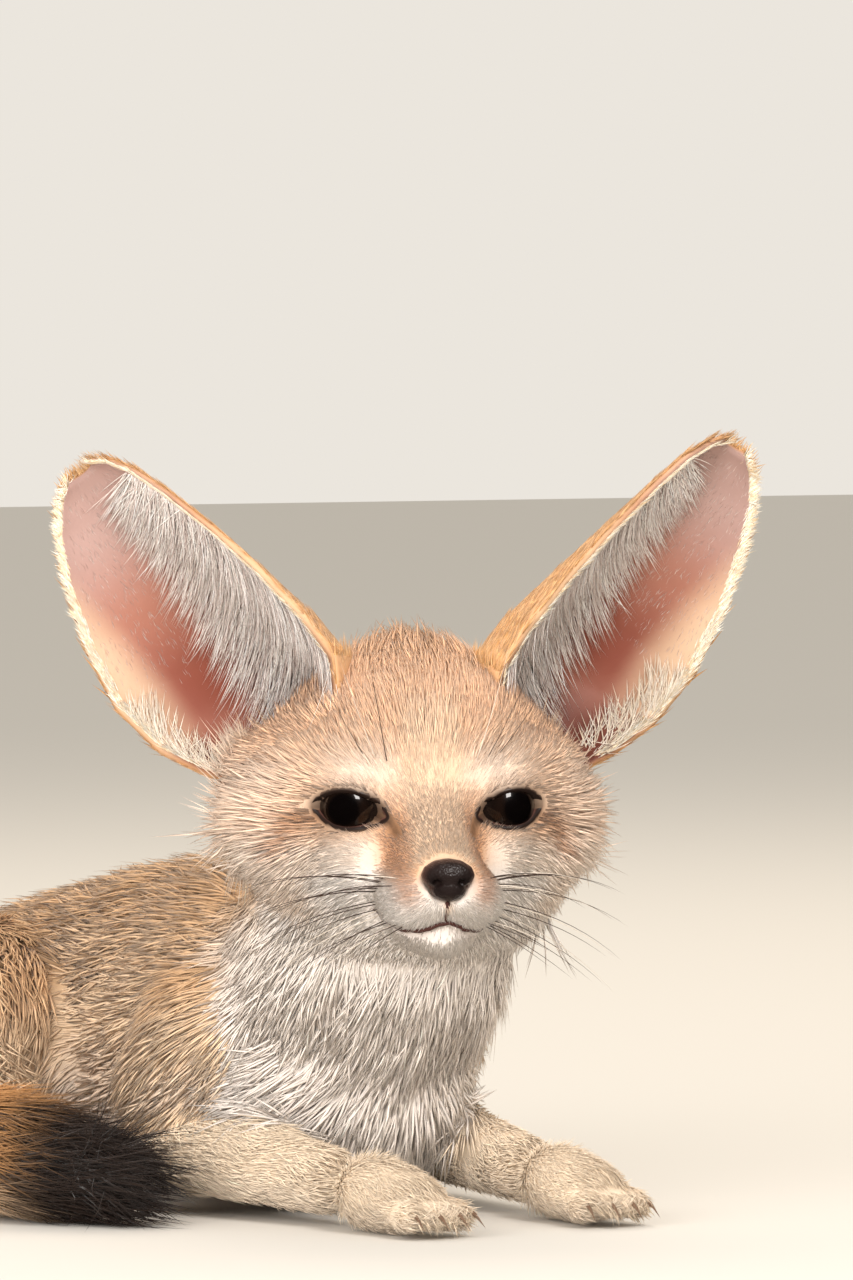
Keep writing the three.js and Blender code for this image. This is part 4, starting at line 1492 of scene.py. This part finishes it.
@dataclass
class Eye:
    """One eyeball with its clear cornea, and the lids round it."""

    head: HeadFrame
    side: Side
    radius: float = 9.0
    cornea: float = 0.5
    iris: float = 6.6
    pupil: float = 3.9
    above: float = 25.0
    lid_wall: float = 0.5
    # How far each row of the lids lies out from the rim and off the ball, and its share on the skin.
    lid_rows: tuple[tuple[float, float, float], ...] = (
        (-1.7, -0.9, 0.0), (-0.35, -0.2, 0.0), (-0.15, 0.15, 0.0), (0.2, 0.2, 0.5),
        (0.75, 0.12, 1.0), (1.4, -0.15, 1.0), (2.0, -0.9, 1.0),
    )
    wet_row: int = 2
    furred_rows: int = 2
    ball_colour: str = "#150E0B"
    iris_colour: str = "#0D0806"
    iris_glow: str = "#180D08"
    pupil_colour: str = "#050303"
    lid_colour: str = "#241813"
    wet_colour: str = "#7A4F44"

    def build_ball(self) -> bpy.types.Object:
        """Makes the eyeball.

        Returns:
            The piece.
        """
        opening = Almond(self.head, self.side)
        bpy.ops.object.select_all(action="DESELECT")
        bpy.ops.mesh.primitive_uv_sphere_add(segments=64, ring_count=40, radius=self.radius * MM)
        piece = bpy.context.active_object
        piece.name = f"eyeball_{self.side.value}"
        points = points_of(piece)
        distance = np.linalg.norm(points[:, :2], axis=1)
        front = points[:, 2] > 0
        bulge = self.cornea * (1 - step(distance, 3.5, self.iris + 0.6)) * front
        points *= (1 + bulge / self.radius)[:, None]
        rows = np.tile(linear(self.ball_colour), (len(points), 1))
        iris = front * (1 - step(distance, self.iris - 0.5, self.iris + 0.3))
        rows = mixed(rows, linear(self.iris_colour), iris)
        glow = front * np.exp(-(((distance - 5.0) / 1.1) ** 2))
        rows = mixed(rows, linear(self.iris_glow), 0.6 * glow)
        pupil = front * (1 - step(distance, self.pupil - 0.4, self.pupil + 0.3))
        rows = mixed(rows, linear(self.pupil_colour), pupil)
        axes = opening.axes()
        placed = points @ axes
        if self.side is Side.RIGHT:
            placed = (points * np.array([-1, 1, 1])) @ np.stack([-axes[0], axes[1], axes[2]])
        move_points(piece, self.head.from_head(placed + opening.centre()))
        piece.location = (0, 0, 0)
        paint(piece, rows)
        select_only(piece)
        bpy.ops.object.mode_set(mode="EDIT")
        bpy.ops.mesh.select_all(action="SELECT")
        bpy.ops.mesh.normals_make_consistent(inside=False)
        bpy.ops.object.mode_set(mode="OBJECT")
        bpy.ops.object.shade_smooth()
        return piece

    def build_lids(self, skin: Skin) -> bpy.types.Object:
        """Makes the two lids as one ring that turns down onto the eyeball.

        Args:
            skin: The skin that the ring runs out on.

        Returns:
            The piece.
        """
        opening = Almond(self.head, self.side)
        axes, centre = opening.axes(), opening.centre()
        way = Vector(self.head.direction(-axes[2]))
        count = len(opening.outline())
        rows = []
        upper = step(opening.outline()[:, 1], -0.5, 1.5)
        for spread, proud, on_skin in self.lid_rows:
            flat = opening.spread(spread)
            ball = np.sqrt(np.maximum((self.radius + proud) ** 2 - np.sum(flat ** 2, axis=1), 9.0))
            skin_depth = np.array([self.skin_depth(skin, place, centre, axes, way) for place in flat])
            far = step(np.linalg.norm(flat, axis=1), 0.86 * self.radius, self.radius + 0.4)
            share = np.maximum(on_skin, far)
            depth = ball * (1 - share) + (skin_depth + proud - 0.25 * (1 - on_skin)) * share
            rows.append(centre + flat @ axes[:2] + depth[:, None] * axes[2])
        points = np.concatenate(rows)
        layers = len(rows)
        faces = []
        for layer in range(layers - 1):
            for k in range(count):
                a = layer * count + k
                b = layer * count + (k + 1) % count
                faces.append((a, b, b + count, a + count))
        piece = mesh_object(f"lids_{self.side.value}", self.head.from_head(points), np.array(faces))
        tones = np.tile(linear(self.lid_colour), (len(points), 1))
        lower = np.concatenate([1 - upper] * layers)
        level = np.repeat(np.arange(layers), count)
        tones = mixed(tones, linear(self.wet_colour), 0.55 * lower * (level == self.wet_row))
        fur = skin.markings.on_head(points)
        tones = np.where((level >= layers - self.furred_rows)[:, None], fur, tones)
        paint(piece, tones)
        select_only(piece)
        bpy.ops.object.mode_set(mode="EDIT")
        bpy.ops.mesh.select_all(action="SELECT")
        bpy.ops.mesh.normals_make_consistent(inside=False)
        bpy.ops.object.mode_set(mode="OBJECT")
        edge_row = slice(count * 3, count * 4)
        if normals_of(piece)[edge_row].mean(axis=0) @ np.array(way) > 0:
            piece.data.flip_normals()
        apply_modifier(piece, "SOLIDIFY", thickness=self.lid_wall * MM, offset=-1.0)
        apply_modifier(piece, "SUBSURF", levels=1, render_levels=1)
        bpy.ops.object.shade_smooth()
        return piece

    def skin_depth(
        self, skin: Skin, place: np.ndarray, centre: np.ndarray, axes: np.ndarray, way: Vector
    ) -> float:
        """Measures how far out the skin lies at a place of the opening's plane.

        Args:
            skin: The skin.
            place: The place in the plane.
            centre: The middle of the eyeball.
            axes: The opening's directions.
            way: The way back into the head, in the frame.

        Returns:
            The skin's distance from the plane through the eyeball's middle.
        """
        start = centre + place @ axes[:2] + axes[2] * self.above
        hit, _, _, distance = skin.whole.ray_cast(Vector(self.head.from_head(start)), way, 2 * self.above)
        return self.radius if hit is None else self.above - distance

    def dress(self, skin: Skin, ball: bpy.types.Material, lid: bpy.types.Material) -> None:
        """Builds the eye and fixes it in the head.

        Args:
            skin: The skin that the lids run out on.
            ball: The eyeball's material.
            lid: The lids' material.
        """
        keep(self.build_ball(), "eye", ball, f"eye_{self.side.value}")
        keep(self.build_lids(skin), "fur", lid)


# Nose, mouth and whiskers.


@dataclass
class Muzzle:
    """The nose, the line of the mouth and the whiskers."""

    head: HeadFrame
    voxel: float = 0.4
    lip: tuple[tuple[float, float, float], ...] = (
        (15.5, -10, -25), (13, -20, -27.5), (8.6, -28, -28.6), (4, -32, -27.6), (0, -33, -26.4),
    )
    groove: tuple[tuple[float, float, float], ...] = ((0, -36, -18), (0, -35.5, -22), (0, -33, -26.4))
    nostril: tuple[float, float, float] = (3.6, -37.5, -15.2)
    nostril_size: float = 2.4
    line_radius: float = 0.62
    line_sides: int = 6
    whisker_rows: int = 4
    whisker_columns: int = 5
    brow_hairs: int = 3
    dark_share: float = 0.7
    leather: str = "#241A18"
    leather_edge: str = "#6B4A40"
    # The near black painted into the nostrils is painted shade in their hollows.
    nostril_shade: str = "#120C0A"
    line_colour: str = "#4A2C27"
    dark_whisker: str = "#3A2A22"
    pale_whisker: str = "#D9CDBE"

    def mouth(self) -> np.ndarray:
        """Draws the line of the mouth from one corner to the other."""
        half = [list(point) for point in self.lip]
        mirrored = [[-x, y, z] for x, y, z in reversed(half[:-1])]
        return smooth_path(half + mirrored, 41)

    def build_nose(self, node: bpy.types.Object) -> bpy.types.Object:
        """Smooths a copy of the nose's solid.

        Args:
            node: The solid.

        Returns:
            The piece.
        """
        piece = copied(node, "nose_leather")
        piece.data.remesh_voxel_size = self.voxel * MM
        bpy.ops.object.voxel_remesh()
        points, edges = points_of(piece), edges_of(piece)
        move_points(piece, relaxed(points, edges, 5))
        points = points_of(piece)
        local = self.head.to_head(points)
        rows = np.tile(linear(self.leather), (len(points), 1))
        edge = step(local[:, 1], -37.5, -34.5)
        rows = mixed(rows, linear(self.leather_edge), 0.5 * edge)
        folded = np.stack([np.abs(local[:, 0]), local[:, 1], local[:, 2]], 1)
        hollow = np.linalg.norm((folded - np.array(self.nostril)) / self.nostril_size, axis=1)
        # The nostrils are darkened as painted shade in their hollows.
        rows = mixed(rows, linear(self.nostril_shade), 0.8 * np.exp(-(hollow ** 2)))
        paint(piece, rows)
        select_only(piece)
        bpy.ops.object.shade_smooth()
        return piece

    def build_line(self, skin: Skin) -> bpy.types.Object:
        """Lays the dark line of the lips and the groove under the nose on the skin.

        Args:
            skin: The skin.

        Returns:
            The piece.
        """
        tree = tree_of(skin.piece)
        paths = [self.mouth(), smooth_path([list(point) for point in self.groove], 9)]
        points, faces, tones = [], [], []
        for path in paths:
            first = len(points)
            frame = self.head.from_head(path)
            run = unit(np.gradient(frame, axis=0))
            for k, place in enumerate(frame):
                spot, normal, _, _ = tree.find_nearest(Vector(place))
                spot, normal = np.array(spot) + 0.2 * np.array(normal), np.array(normal)
                side = unit(np.cross(run[k], normal)[None])[0]
                from_end = min(k, len(path) - 1 - k) / len(path)
                size = self.line_radius * min(1, 0.25 + 2.2 * from_end * 2)
                for angle in np.linspace(0, 2 * math.pi, self.line_sides, endpoint=False):
                    points.append(spot + size * (side * math.cos(angle) + 0.7 * normal * math.sin(angle)))
                    tones.append(linear(self.line_colour))
            for k in range(len(path) - 1):
                for turn in range(self.line_sides):
                    a = first + k * self.line_sides + turn
                    b = first + k * self.line_sides + (turn + 1) % self.line_sides
                    faces.append((a, b, b + self.line_sides, a + self.line_sides))
        piece = mesh_object("mouth_line", np.array(points), np.array(faces))
        paint(piece, np.array(tones))
        select_only(piece)
        bpy.ops.object.mode_set(mode="EDIT")
        bpy.ops.mesh.select_all(action="DESELECT")
        bpy.ops.mesh.select_mode(type="EDGE")
        bpy.ops.mesh.select_non_manifold()
        bpy.ops.mesh.fill()
        bpy.ops.mesh.select_all(action="SELECT")
        bpy.ops.mesh.normals_make_consistent(inside=False)
        bpy.ops.object.mode_set(mode="OBJECT")
        return piece

    def whisker_paths(self, skin: Skin, random: np.random.Generator) -> list[np.ndarray]:
        """Draws the whiskers of both lips and the long hairs of both brows.

        Args:
            skin: The skin that they grow from.
            random: The source of chance.

        Returns:
            The middle line of each hair.
        """
        tree = tree_of(skin.piece)
        paths = []
        for side in Side:
            sign = side.sign
            for row in range(self.whisker_rows):
                for column in range(self.whisker_columns):
                    root = [sign * (8.5 + column * 1.3), -27 + column * 3.0 + row * 0.4, -17.5 - row * 2.3]
                    reach = 17 + 5.5 * column + 3 * random.random()
                    way = [sign * (0.9 + 0.1 * random.random()), -0.05 + 0.12 * column, 0.12 - 0.16 * row]
                    paths.append(self.hair(tree, root, way, reach, -0.24))
            for index in range(self.brow_hairs):
                root = [sign * (11.0 + 2.6 * index), -6.0 + 1.2 * index, 11.0 + 0.6 * index]
                way = [sign * (0.25 + 0.22 * index), -0.35, 1.0]
                paths.append(self.hair(tree, root, way, 30 - 4 * index, 0.12))
        return paths

    def hair(
        self, tree: BVHTree, root: list[float], way: list[float], reach: float, fall: float
    ) -> np.ndarray:
        """Draws one long hair.

        Args:
            tree: The skin's search tree.
            root: Where it grows, in the head's directions.
            way: The way it points.
            reach: Its length.
            fall: How much it bends up or down by its tip, as a share of its length.

        Returns:
            Its middle line, in the frame.
        """
        spot, normal, _, _ = tree.find_nearest(Vector(self.head.from_head(root)))
        run = unit(self.head.direction(way)[None])[0]
        t = np.linspace(0, 1, 10)[:, None]
        start = np.array(spot) - np.array(normal) * 0.5
        outward = np.array(normal) * 0.18 * reach
        return start + run * reach * t + np.array([0, 0, fall * reach]) * t ** 2 + outward * (t - t ** 2)

    def dress(
        self, skin: Skin, nodes: dict[str, bpy.types.Object], finishes: Finishes, random: np.random.Generator
    ) -> None:
        """Builds the nose, the mouth and the whiskers.

        Args:
            skin: The skin.
            nodes: The solids of the frame.
            finishes: The fox's finishes.
            random: The source of chance.
        """
        keep(self.build_nose(nodes["nose"]), "nose_leather", finishes.nose.build(), "nose")
        keep(self.build_line(skin), "nose_leather", finishes.lid.build())
        paths = self.whisker_paths(skin, random)
        colours = [
            self.dark_whisker if random.random() < self.dark_share else self.pale_whisker for _ in paths
        ]
        keep(Strands().build("whiskers", paths, colours), "fur", finishes.whisker.build())


# Ears.


@dataclass(frozen=True)
class EarHair:
    """One sort of hair on an ear: its tufts' number, size, lift, rings, bend and colours."""

    count: int
    width: float
    lift: float
    rings: int
    colours: tuple[str, ...]
    curl: float = 0.45


@dataclass
class Ear:
    """One ear: a thin leaf rolled to a cup, with the hair of its front, rim and back."""

    head: HeadFrame
    side: Side
    reach: float = 81.0
    wall: float = 1.9
    turn: float = 38.0
    sections: tuple[tuple[float, float, float, float], ...] = (
        (-0.24, 8, 14, -1), (-0.12, 16, 21, -1), (0, 23, 24, 0), (0.15, 26.5, 24, 3.5),
        (0.35, 27, 20, 6.6), (0.55, 24, 15, 7.6), (0.75, 18.6, 10, 7.4), (0.88, 13.6, 7, 6.6),
        (0.96, 8.6, 4.4, 5.8), (1, 4, 2.4, 5.4),
    )
    base: tuple[float, float, float] = (37.0, 23.0, 21.0)
    # How far each ear leans back and spreads sideways, in degrees.
    left_lean: tuple[float, float] = (4, 32)
    right_lean: tuple[float, float] = (27, 33)
    steps_up: int = 72
    steps_over: int = 56
    back_fur: EarHair = EarHair(9000, 0.75, 10, 1, ("#D5A36E", "#DEB07C", "#C8945C"))
    medial_fringe: EarHair = EarHair(
        3800, 0.3, 15, 4, ("#FBF3EC", "#EFE3DC", "#FFFBF7", "#D3C3BD"), curl=-1.0
    )
    lateral_fringe: EarHair = EarHair(260, 0.34, 14, 3, ("#F5EADB", "#E8D8C2"), curl=-0.8)
    rim_fur: EarHair = EarHair(3600, 0.45, 14, 1, ("#FAEBD2", "#F2D8B0", "#FFF6E6"))
    velvet: EarHair = EarHair(1800, 0.24, 9, 1, ("#BFA79E", "#CDB9AE", "#A8877B"))

    def directions(self) -> tuple[np.ndarray, np.ndarray, np.ndarray, np.ndarray]:
        """Gives the ear's base and its directions.

        Returns:
            The base, and the ways that it points, opens and faces outwards, in the head's directions.
        """
        sign = self.side.sign
        back, spread = self.left_lean if self.side is Side.LEFT else self.right_lean
        back, spread, turn = math.radians(back), math.radians(spread), math.radians(self.turn)
        base = np.array(self.base) * np.array([sign, 1, 1])
        axis = unit(np.array([[sign * math.sin(spread), math.sin(back), math.cos(spread)]]))[0]
        facing = np.array([sign * math.sin(turn), -math.cos(turn), 0.0])
        facing = unit((facing - axis * (facing @ axis))[None])[0]
        outward = np.cross(axis, facing) * sign
        return base, axis, facing, outward

    def at(self, share: np.ndarray, across: np.ndarray, depth: float) -> np.ndarray:
        """Finds places on the leaf.

        Args:
            share: How far each is from the base to the tip.
            across: How far each is from the middle to the rim, from -1 to 1.
            depth: How far behind the inner face they lie.

        Returns:
            The places, in the head's directions.
        """
        base, axis, facing, outward = self.directions()
        table = np.array(self.sections)
        half, deep, bend = (np.interp(share, table[:, 0], table[:, k]) for k in (1, 2, 3))
        radius = (half ** 2 + deep ** 2) / (2 * deep)
        angle = across * 2 * np.arctan(deep / half)
        width = np.sin(angle) * (radius + depth) + bend
        height = radius - deep - np.cos(angle) * (radius + depth)
        return base + np.outer(share * self.reach, axis) + np.outer(width, outward) + np.outer(height, facing)

    def build_leaf(self) -> bpy.types.Object:
        """Makes the leaf with its wall.

        Returns:
            The piece.
        """
        bpy.ops.object.select_all(action="DESELECT")
        bpy.ops.mesh.primitive_grid_add(
            x_subdivisions=self.steps_up, y_subdivisions=self.steps_over, size=2
        )
        piece = bpy.context.active_object
        piece.name = f"ear_leaf_{self.side.value}"
        grid = points_of(piece) * MM
        share = -0.2 + 1.2 * (grid[:, 0] + 1) / 2
        across = grid[:, 1]
        front = self.at(share, across, 0.0)
        move_points(piece, self.head.from_head(front))
        facing = self.head.direction(self.directions()[2])
        middle = np.abs(across) < 0.2
        if normals_of(piece)[middle].mean(axis=0) @ facing < 0:
            piece.data.flip_normals()
        apply_modifier(piece, "SOLIDIFY", thickness=self.wall * MM, offset=-1.0)
        paint(piece, self.colour(self.head.to_head(points_of(piece)), len(front)))
        select_only(piece)
        bpy.ops.object.shade_smooth()
        return piece

    def parameters(self, local: np.ndarray) -> tuple[np.ndarray, np.ndarray, np.ndarray]:
        """Finds how far along, across and forward places of the ear lie.

        Args:
            local: Places in the head's directions.

        Returns:
            The share along the ear, the millimetres outwards and those forward.
        """
        base, axis, facing, outward = self.directions()
        arm = local - base
        return arm @ axis / self.reach, arm @ outward, arm @ facing

    def colour(self, local: np.ndarray, front_count: int) -> np.ndarray:
        """Colours the leaf: bare skin inside and short fur behind.

        Args:
            local: Its vertices in the head's directions.
            front_count: How many of them, from the first, are on the inner face.

        Returns:
            A colour for each.
        """
        share, width, _ = self.parameters(local)
        rows = np.tile(linear("#A06B5A"), (len(local), 1))
        rows = mixed(rows, linear("#7A3626"), step(-share, -0.62, -0.3) * step(share, 0.05, 0.25) * 0.8)
        rows = mixed(rows, linear("#A98A82"), step(share, 0.55, 0.85))
        rows = mixed(rows, linear("#E3C7A6"), 0.7 * step(np.abs(width - 6), 17, 26))
        # The base of the cup is darkened as painted shade where it opens into the head.
        rows = mixed(rows, linear("#5E2A20"), step(-share, -0.2, -0.02) * 0.8)
        behind = np.arange(len(local)) >= front_count
        return np.where(behind[:, None], linear(Colours().ear_back), rows)

    def hairs(
        self, sort: EarHair, random: np.random.Generator, share: np.ndarray, across: np.ndarray,
        depth: float, length: np.ndarray, lie: np.ndarray,
    ) -> Tufts:
        """Plants tufts on the leaf.

        Args:
            sort: The sort of hair.
            random: The source of chance.
            share: Where each root is from base to tip.
            across: Where it is from the middle to the rim.
            depth: How far behind the inner face the roots are.
            length: The tufts' lengths.
            lie: The way they lie, in the head's directions.

        Returns:
            The tufts.
        """
        count = len(share)
        nudge = 0.004
        root = self.at(share, across, depth)
        up = self.at(share + nudge, across, depth) - root
        over = self.at(share, across + nudge, depth) - root
        normal = unit(np.cross(up, over))
        _, _, facing, _ = self.directions()
        ahead = normal @ facing
        toward = np.where(ahead[:, None] < 0, -normal, normal)
        middle = self.at(share, np.zeros(count), depth)
        cup = unit(middle + 30.0 * facing - root)
        flip = np.sum(toward * cup, axis=1) < 0
        toward[flip] *= -1
        if depth > 0:
            toward = -toward
        palette = np.array([linear(colour) for colour in sort.colours])
        colour = palette[random.integers(0, len(palette), count)]
        colour = colour * (1 + 0.1 * random.standard_normal(count))[:, None]
        # The ear's own unwrap lays its inner face beside its back.
        half = 0.5 if depth > 0 else 0
        place = np.stack([0.05 + 0.4 * (across + 1) / 2 + half, 0.1 + 0.7 * share.clip(0)], 1)
        lie = along_skin(lie + 0.16 * random.standard_normal((count, 3)), toward)
        return Tufts(
            self.head.from_head(root),
            self.head.direction(toward),
            self.head.direction(lie),
            length * (0.8 + 0.4 * random.random(count)),
            sort.width * (0.7 + 0.6 * random.random(count)),
            np.radians(sort.lift * (0.7 + 0.6 * random.random(count))),
            colour,
            place,
            rings=sort.rings,
            curl=sort.curl,
            sunk=0.3,
            shade=0.9,
        )

    def dress(self, finishes: Finishes, hair: bpy.types.Material, random: np.random.Generator) -> None:
        """Builds the ear and its hair.

        Args:
            finishes: The fox's finishes.
            hair: The hair's material.
            random: The source of chance.
        """
        keep(self.build_leaf(), "ear_skin", finishes.ear.build(), f"ear_{self.side.value}")
        _, axis, _, outward = self.directions()
        count = self.back_fur.count
        share, across = random.uniform(-0.15, 0.99, count), random.uniform(-1, 1, count)
        lie = np.tile(axis, (count, 1))
        behind = self.hairs(self.back_fur, random, share, across, self.wall, np.full(count, 6.0), lie)
        keep(behind.build(f"ear_back_fur_{self.side.value}"), "fur", hair)
        count = self.medial_fringe.count
        share = -0.04 + 0.94 * random.random(count) ** 1.15
        across = -0.98 + (1.15 - 0.85 * share) * random.random(count) ** 1.4
        lie = outward - np.outer(0.85 - 0.5 * share, axis)
        medial = self.hairs(self.medial_fringe, random, share, across, 0.0, 21 - 9 * share, lie)
        keep(medial.build(f"ear_fringe_medial_{self.side.value}"), "fur", hair)
        count = self.lateral_fringe.count
        share = random.uniform(-0.04, 0.3, count)
        across = 0.98 - 0.2 * random.random(count) ** 1.6
        lie = np.tile(-outward * 0.7 + axis * 0.75, (count, 1))
        lateral = self.hairs(self.lateral_fringe, random, share, across, 0.0, 8 - 5 * share, lie)
        keep(lateral.build(f"ear_fringe_lateral_{self.side.value}"), "fur", hair)
        count = self.rim_fur.count
        share = random.uniform(-0.05, 1.0, count)
        across = np.where(random.random(count) < 0.5, -1.0, 1.0) * random.uniform(0.93, 1.0, count)
        lie = axis * 0.9 + np.outer(np.sign(across), outward) * 0.5
        rim = self.hairs(self.rim_fur, random, share, across, 0.0, np.full(count, 4.4), lie)
        keep(rim.build(f"ear_rim_fur_{self.side.value}"), "fur", hair)
        count = self.velvet.count
        share, across = random.uniform(0.3, 0.97, count), random.uniform(-0.9, 0.9, count)
        lie = np.tile(axis, (count, 1))
        velvet = self.hairs(self.velvet, random, share, across, 0.0, np.full(count, 3.4), lie)
        keep(velvet.build(f"ear_velvet_{self.side.value}"), "fur", hair)


# Studio.


@dataclass(frozen=True)
class Lamp:
    """A square soft light: where it hangs round the camera's side, its size, power and colour."""

    name: str
    turn: float
    elevation: float
    size: float
    power: float
    away: float
    colour: str


@dataclass(frozen=True)
class Studio:
    """The floor, the lights and the camera."""

    head: HeadFrame
    azimuth: float = 325.0
    elevation: float = 2.0
    distance: float = 2.5
    raised: float = 41.5
    lens: float = 281.25
    sensor: float = 36.0
    clip_start: float = 0.05
    floor_size: float = 14.0
    sky: str = "#DDD8D0"
    sky_strength: float = 1.15
    lamps: tuple[Lamp, ...] = (
        Lamp("key", 28, 40, 0.5, 14.5, 1.5, "#FFFAF6"),
        Lamp("fill", -30, 6, 1.7, 54, 1.8, "#FFFCFA"),
        Lamp("rim", 180, 50, 1.2, 14, 1.8, "#FFF2E2"),
    )

    def direction(self, azimuth: float, elevation: float) -> Vector:
        """Gives the way from the fox to a place round it."""
        a, e = math.radians(azimuth), math.radians(elevation)
        return Vector((math.sin(a) * math.cos(e), -math.cos(a) * math.cos(e), math.sin(e)))

    def build_floor(self) -> None:
        """Lays a plain pale floor under an even sky."""
        bpy.ops.object.select_all(action="DESELECT")
        bpy.ops.mesh.primitive_plane_add(size=self.floor_size, location=(0, 0, 0))
        floor = bpy.context.active_object
        floor.name = "floor"
        floor.data.materials.append(PlainFinish("floor_paint", "#D3CFC8", 0.9, 0.1).build())
        floor.visible_glossy = False
        floor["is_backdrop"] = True
        world = bpy.data.worlds.new("studio")
        world.use_nodes = True
        background = world.node_tree.nodes["Background"]
        background.inputs["Color"].default_value = (*linear(self.sky), 1)
        background.inputs["Strength"].default_value = self.sky_strength
        world.cycles_visibility.glossy = False
        bpy.context.scene.world = world

    def add_light(self, lamp: Lamp) -> None:
        """Hangs a soft light that faces the head.

        Args:
            lamp: The light, with its sizes in metres and its power in watts.
        """
        light = bpy.data.lights.new(lamp.name, "AREA")
        light.energy = lamp.power
        light.shape = "SQUARE"
        light.size = lamp.size
        light.color = tuple(linear(lamp.colour))
        holder = bpy.data.objects.new(lamp.name, light)
        bpy.context.scene.collection.objects.link(holder)
        way = self.direction(self.azimuth + lamp.turn, lamp.elevation)
        holder.location = Vector(self.head.middle() * MM) + way * lamp.away
        holder.rotation_euler = way.to_track_quat("Z", "Y").to_euler()
        # Only the key light is mirrored, as the one highlight in each eye.
        holder.visible_glossy = lamp.name == "key"

    def build(self) -> None:
        """Sets the floor, the lights and the camera."""
        bpy.context.scene.view_settings.view_transform = "Standard"
        self.build_floor()
        for lamp in self.lamps:
            self.add_light(lamp)
        way = self.direction(self.azimuth, self.elevation)
        turned = way.to_track_quat("Z", "Y")
        camera = bpy.data.cameras.new("camera")
        camera.sensor_fit = "VERTICAL"
        camera.sensor_height = self.sensor
        camera.lens = self.lens
        camera.clip_start = self.clip_start
        holder = bpy.data.objects.new("camera", camera)
        bpy.context.scene.collection.objects.link(holder)
        up = turned @ Vector((0, 1, 0))
        holder.location = Vector(self.head.middle() * MM) + way * self.distance + up * self.raised * MM
        holder.rotation_euler = turned.to_euler()
        bpy.context.scene.camera = holder


def dress_claws(nodes: dict[str, bpy.types.Object], finish: bpy.types.Material) -> None:
    """Gives the claws their horn.

    Args:
        nodes: The solids of the frame.
        finish: The horn's material.
    """
    for name, node in nodes.items():
        if "claw" in name:
            node.data.materials.clear()
            node.data.materials.append(finish)


def main() -> None:
    """Builds the fox over its frame, piece by piece."""
    logging.basicConfig(level=logging.INFO, format="%(message)s", stream=sys.stdout)
    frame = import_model()
    solid_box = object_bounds()
    random = np.random.default_rng(SEED)
    head, body, finishes = HeadFrame(), BodyFrame(), Finishes()
    log.info("eye middle at %s", np.round(head.middle(), 3))
    nodes = frame["nodes"]
    muzzle = Muzzle(head)
    skin = Skin(head, body, Markings(head, muzzle.mouth()))
    skin.build(nodes)
    skin.dress(finishes)
    hair = finishes.hair.build()
    coat = Coat(skin, muzzle.mouth(), solid_box)
    tufts, parts = coat.build(random)
    log.info("tufts: %d", len(parts))
    coat.dress(tufts, parts, hair)
    ball, lid = finishes.eye.build(), finishes.lid.build()
    for side in Side:
        Eye(head, side).dress(skin, ball, lid)
        Ear(head, side).dress(finishes, hair, random)
    muzzle.dress(skin, nodes, finishes, random)
    dress_claws(nodes, finishes.horn.build())
    Studio(head).build()


if __name__ == "__main__":
    main()
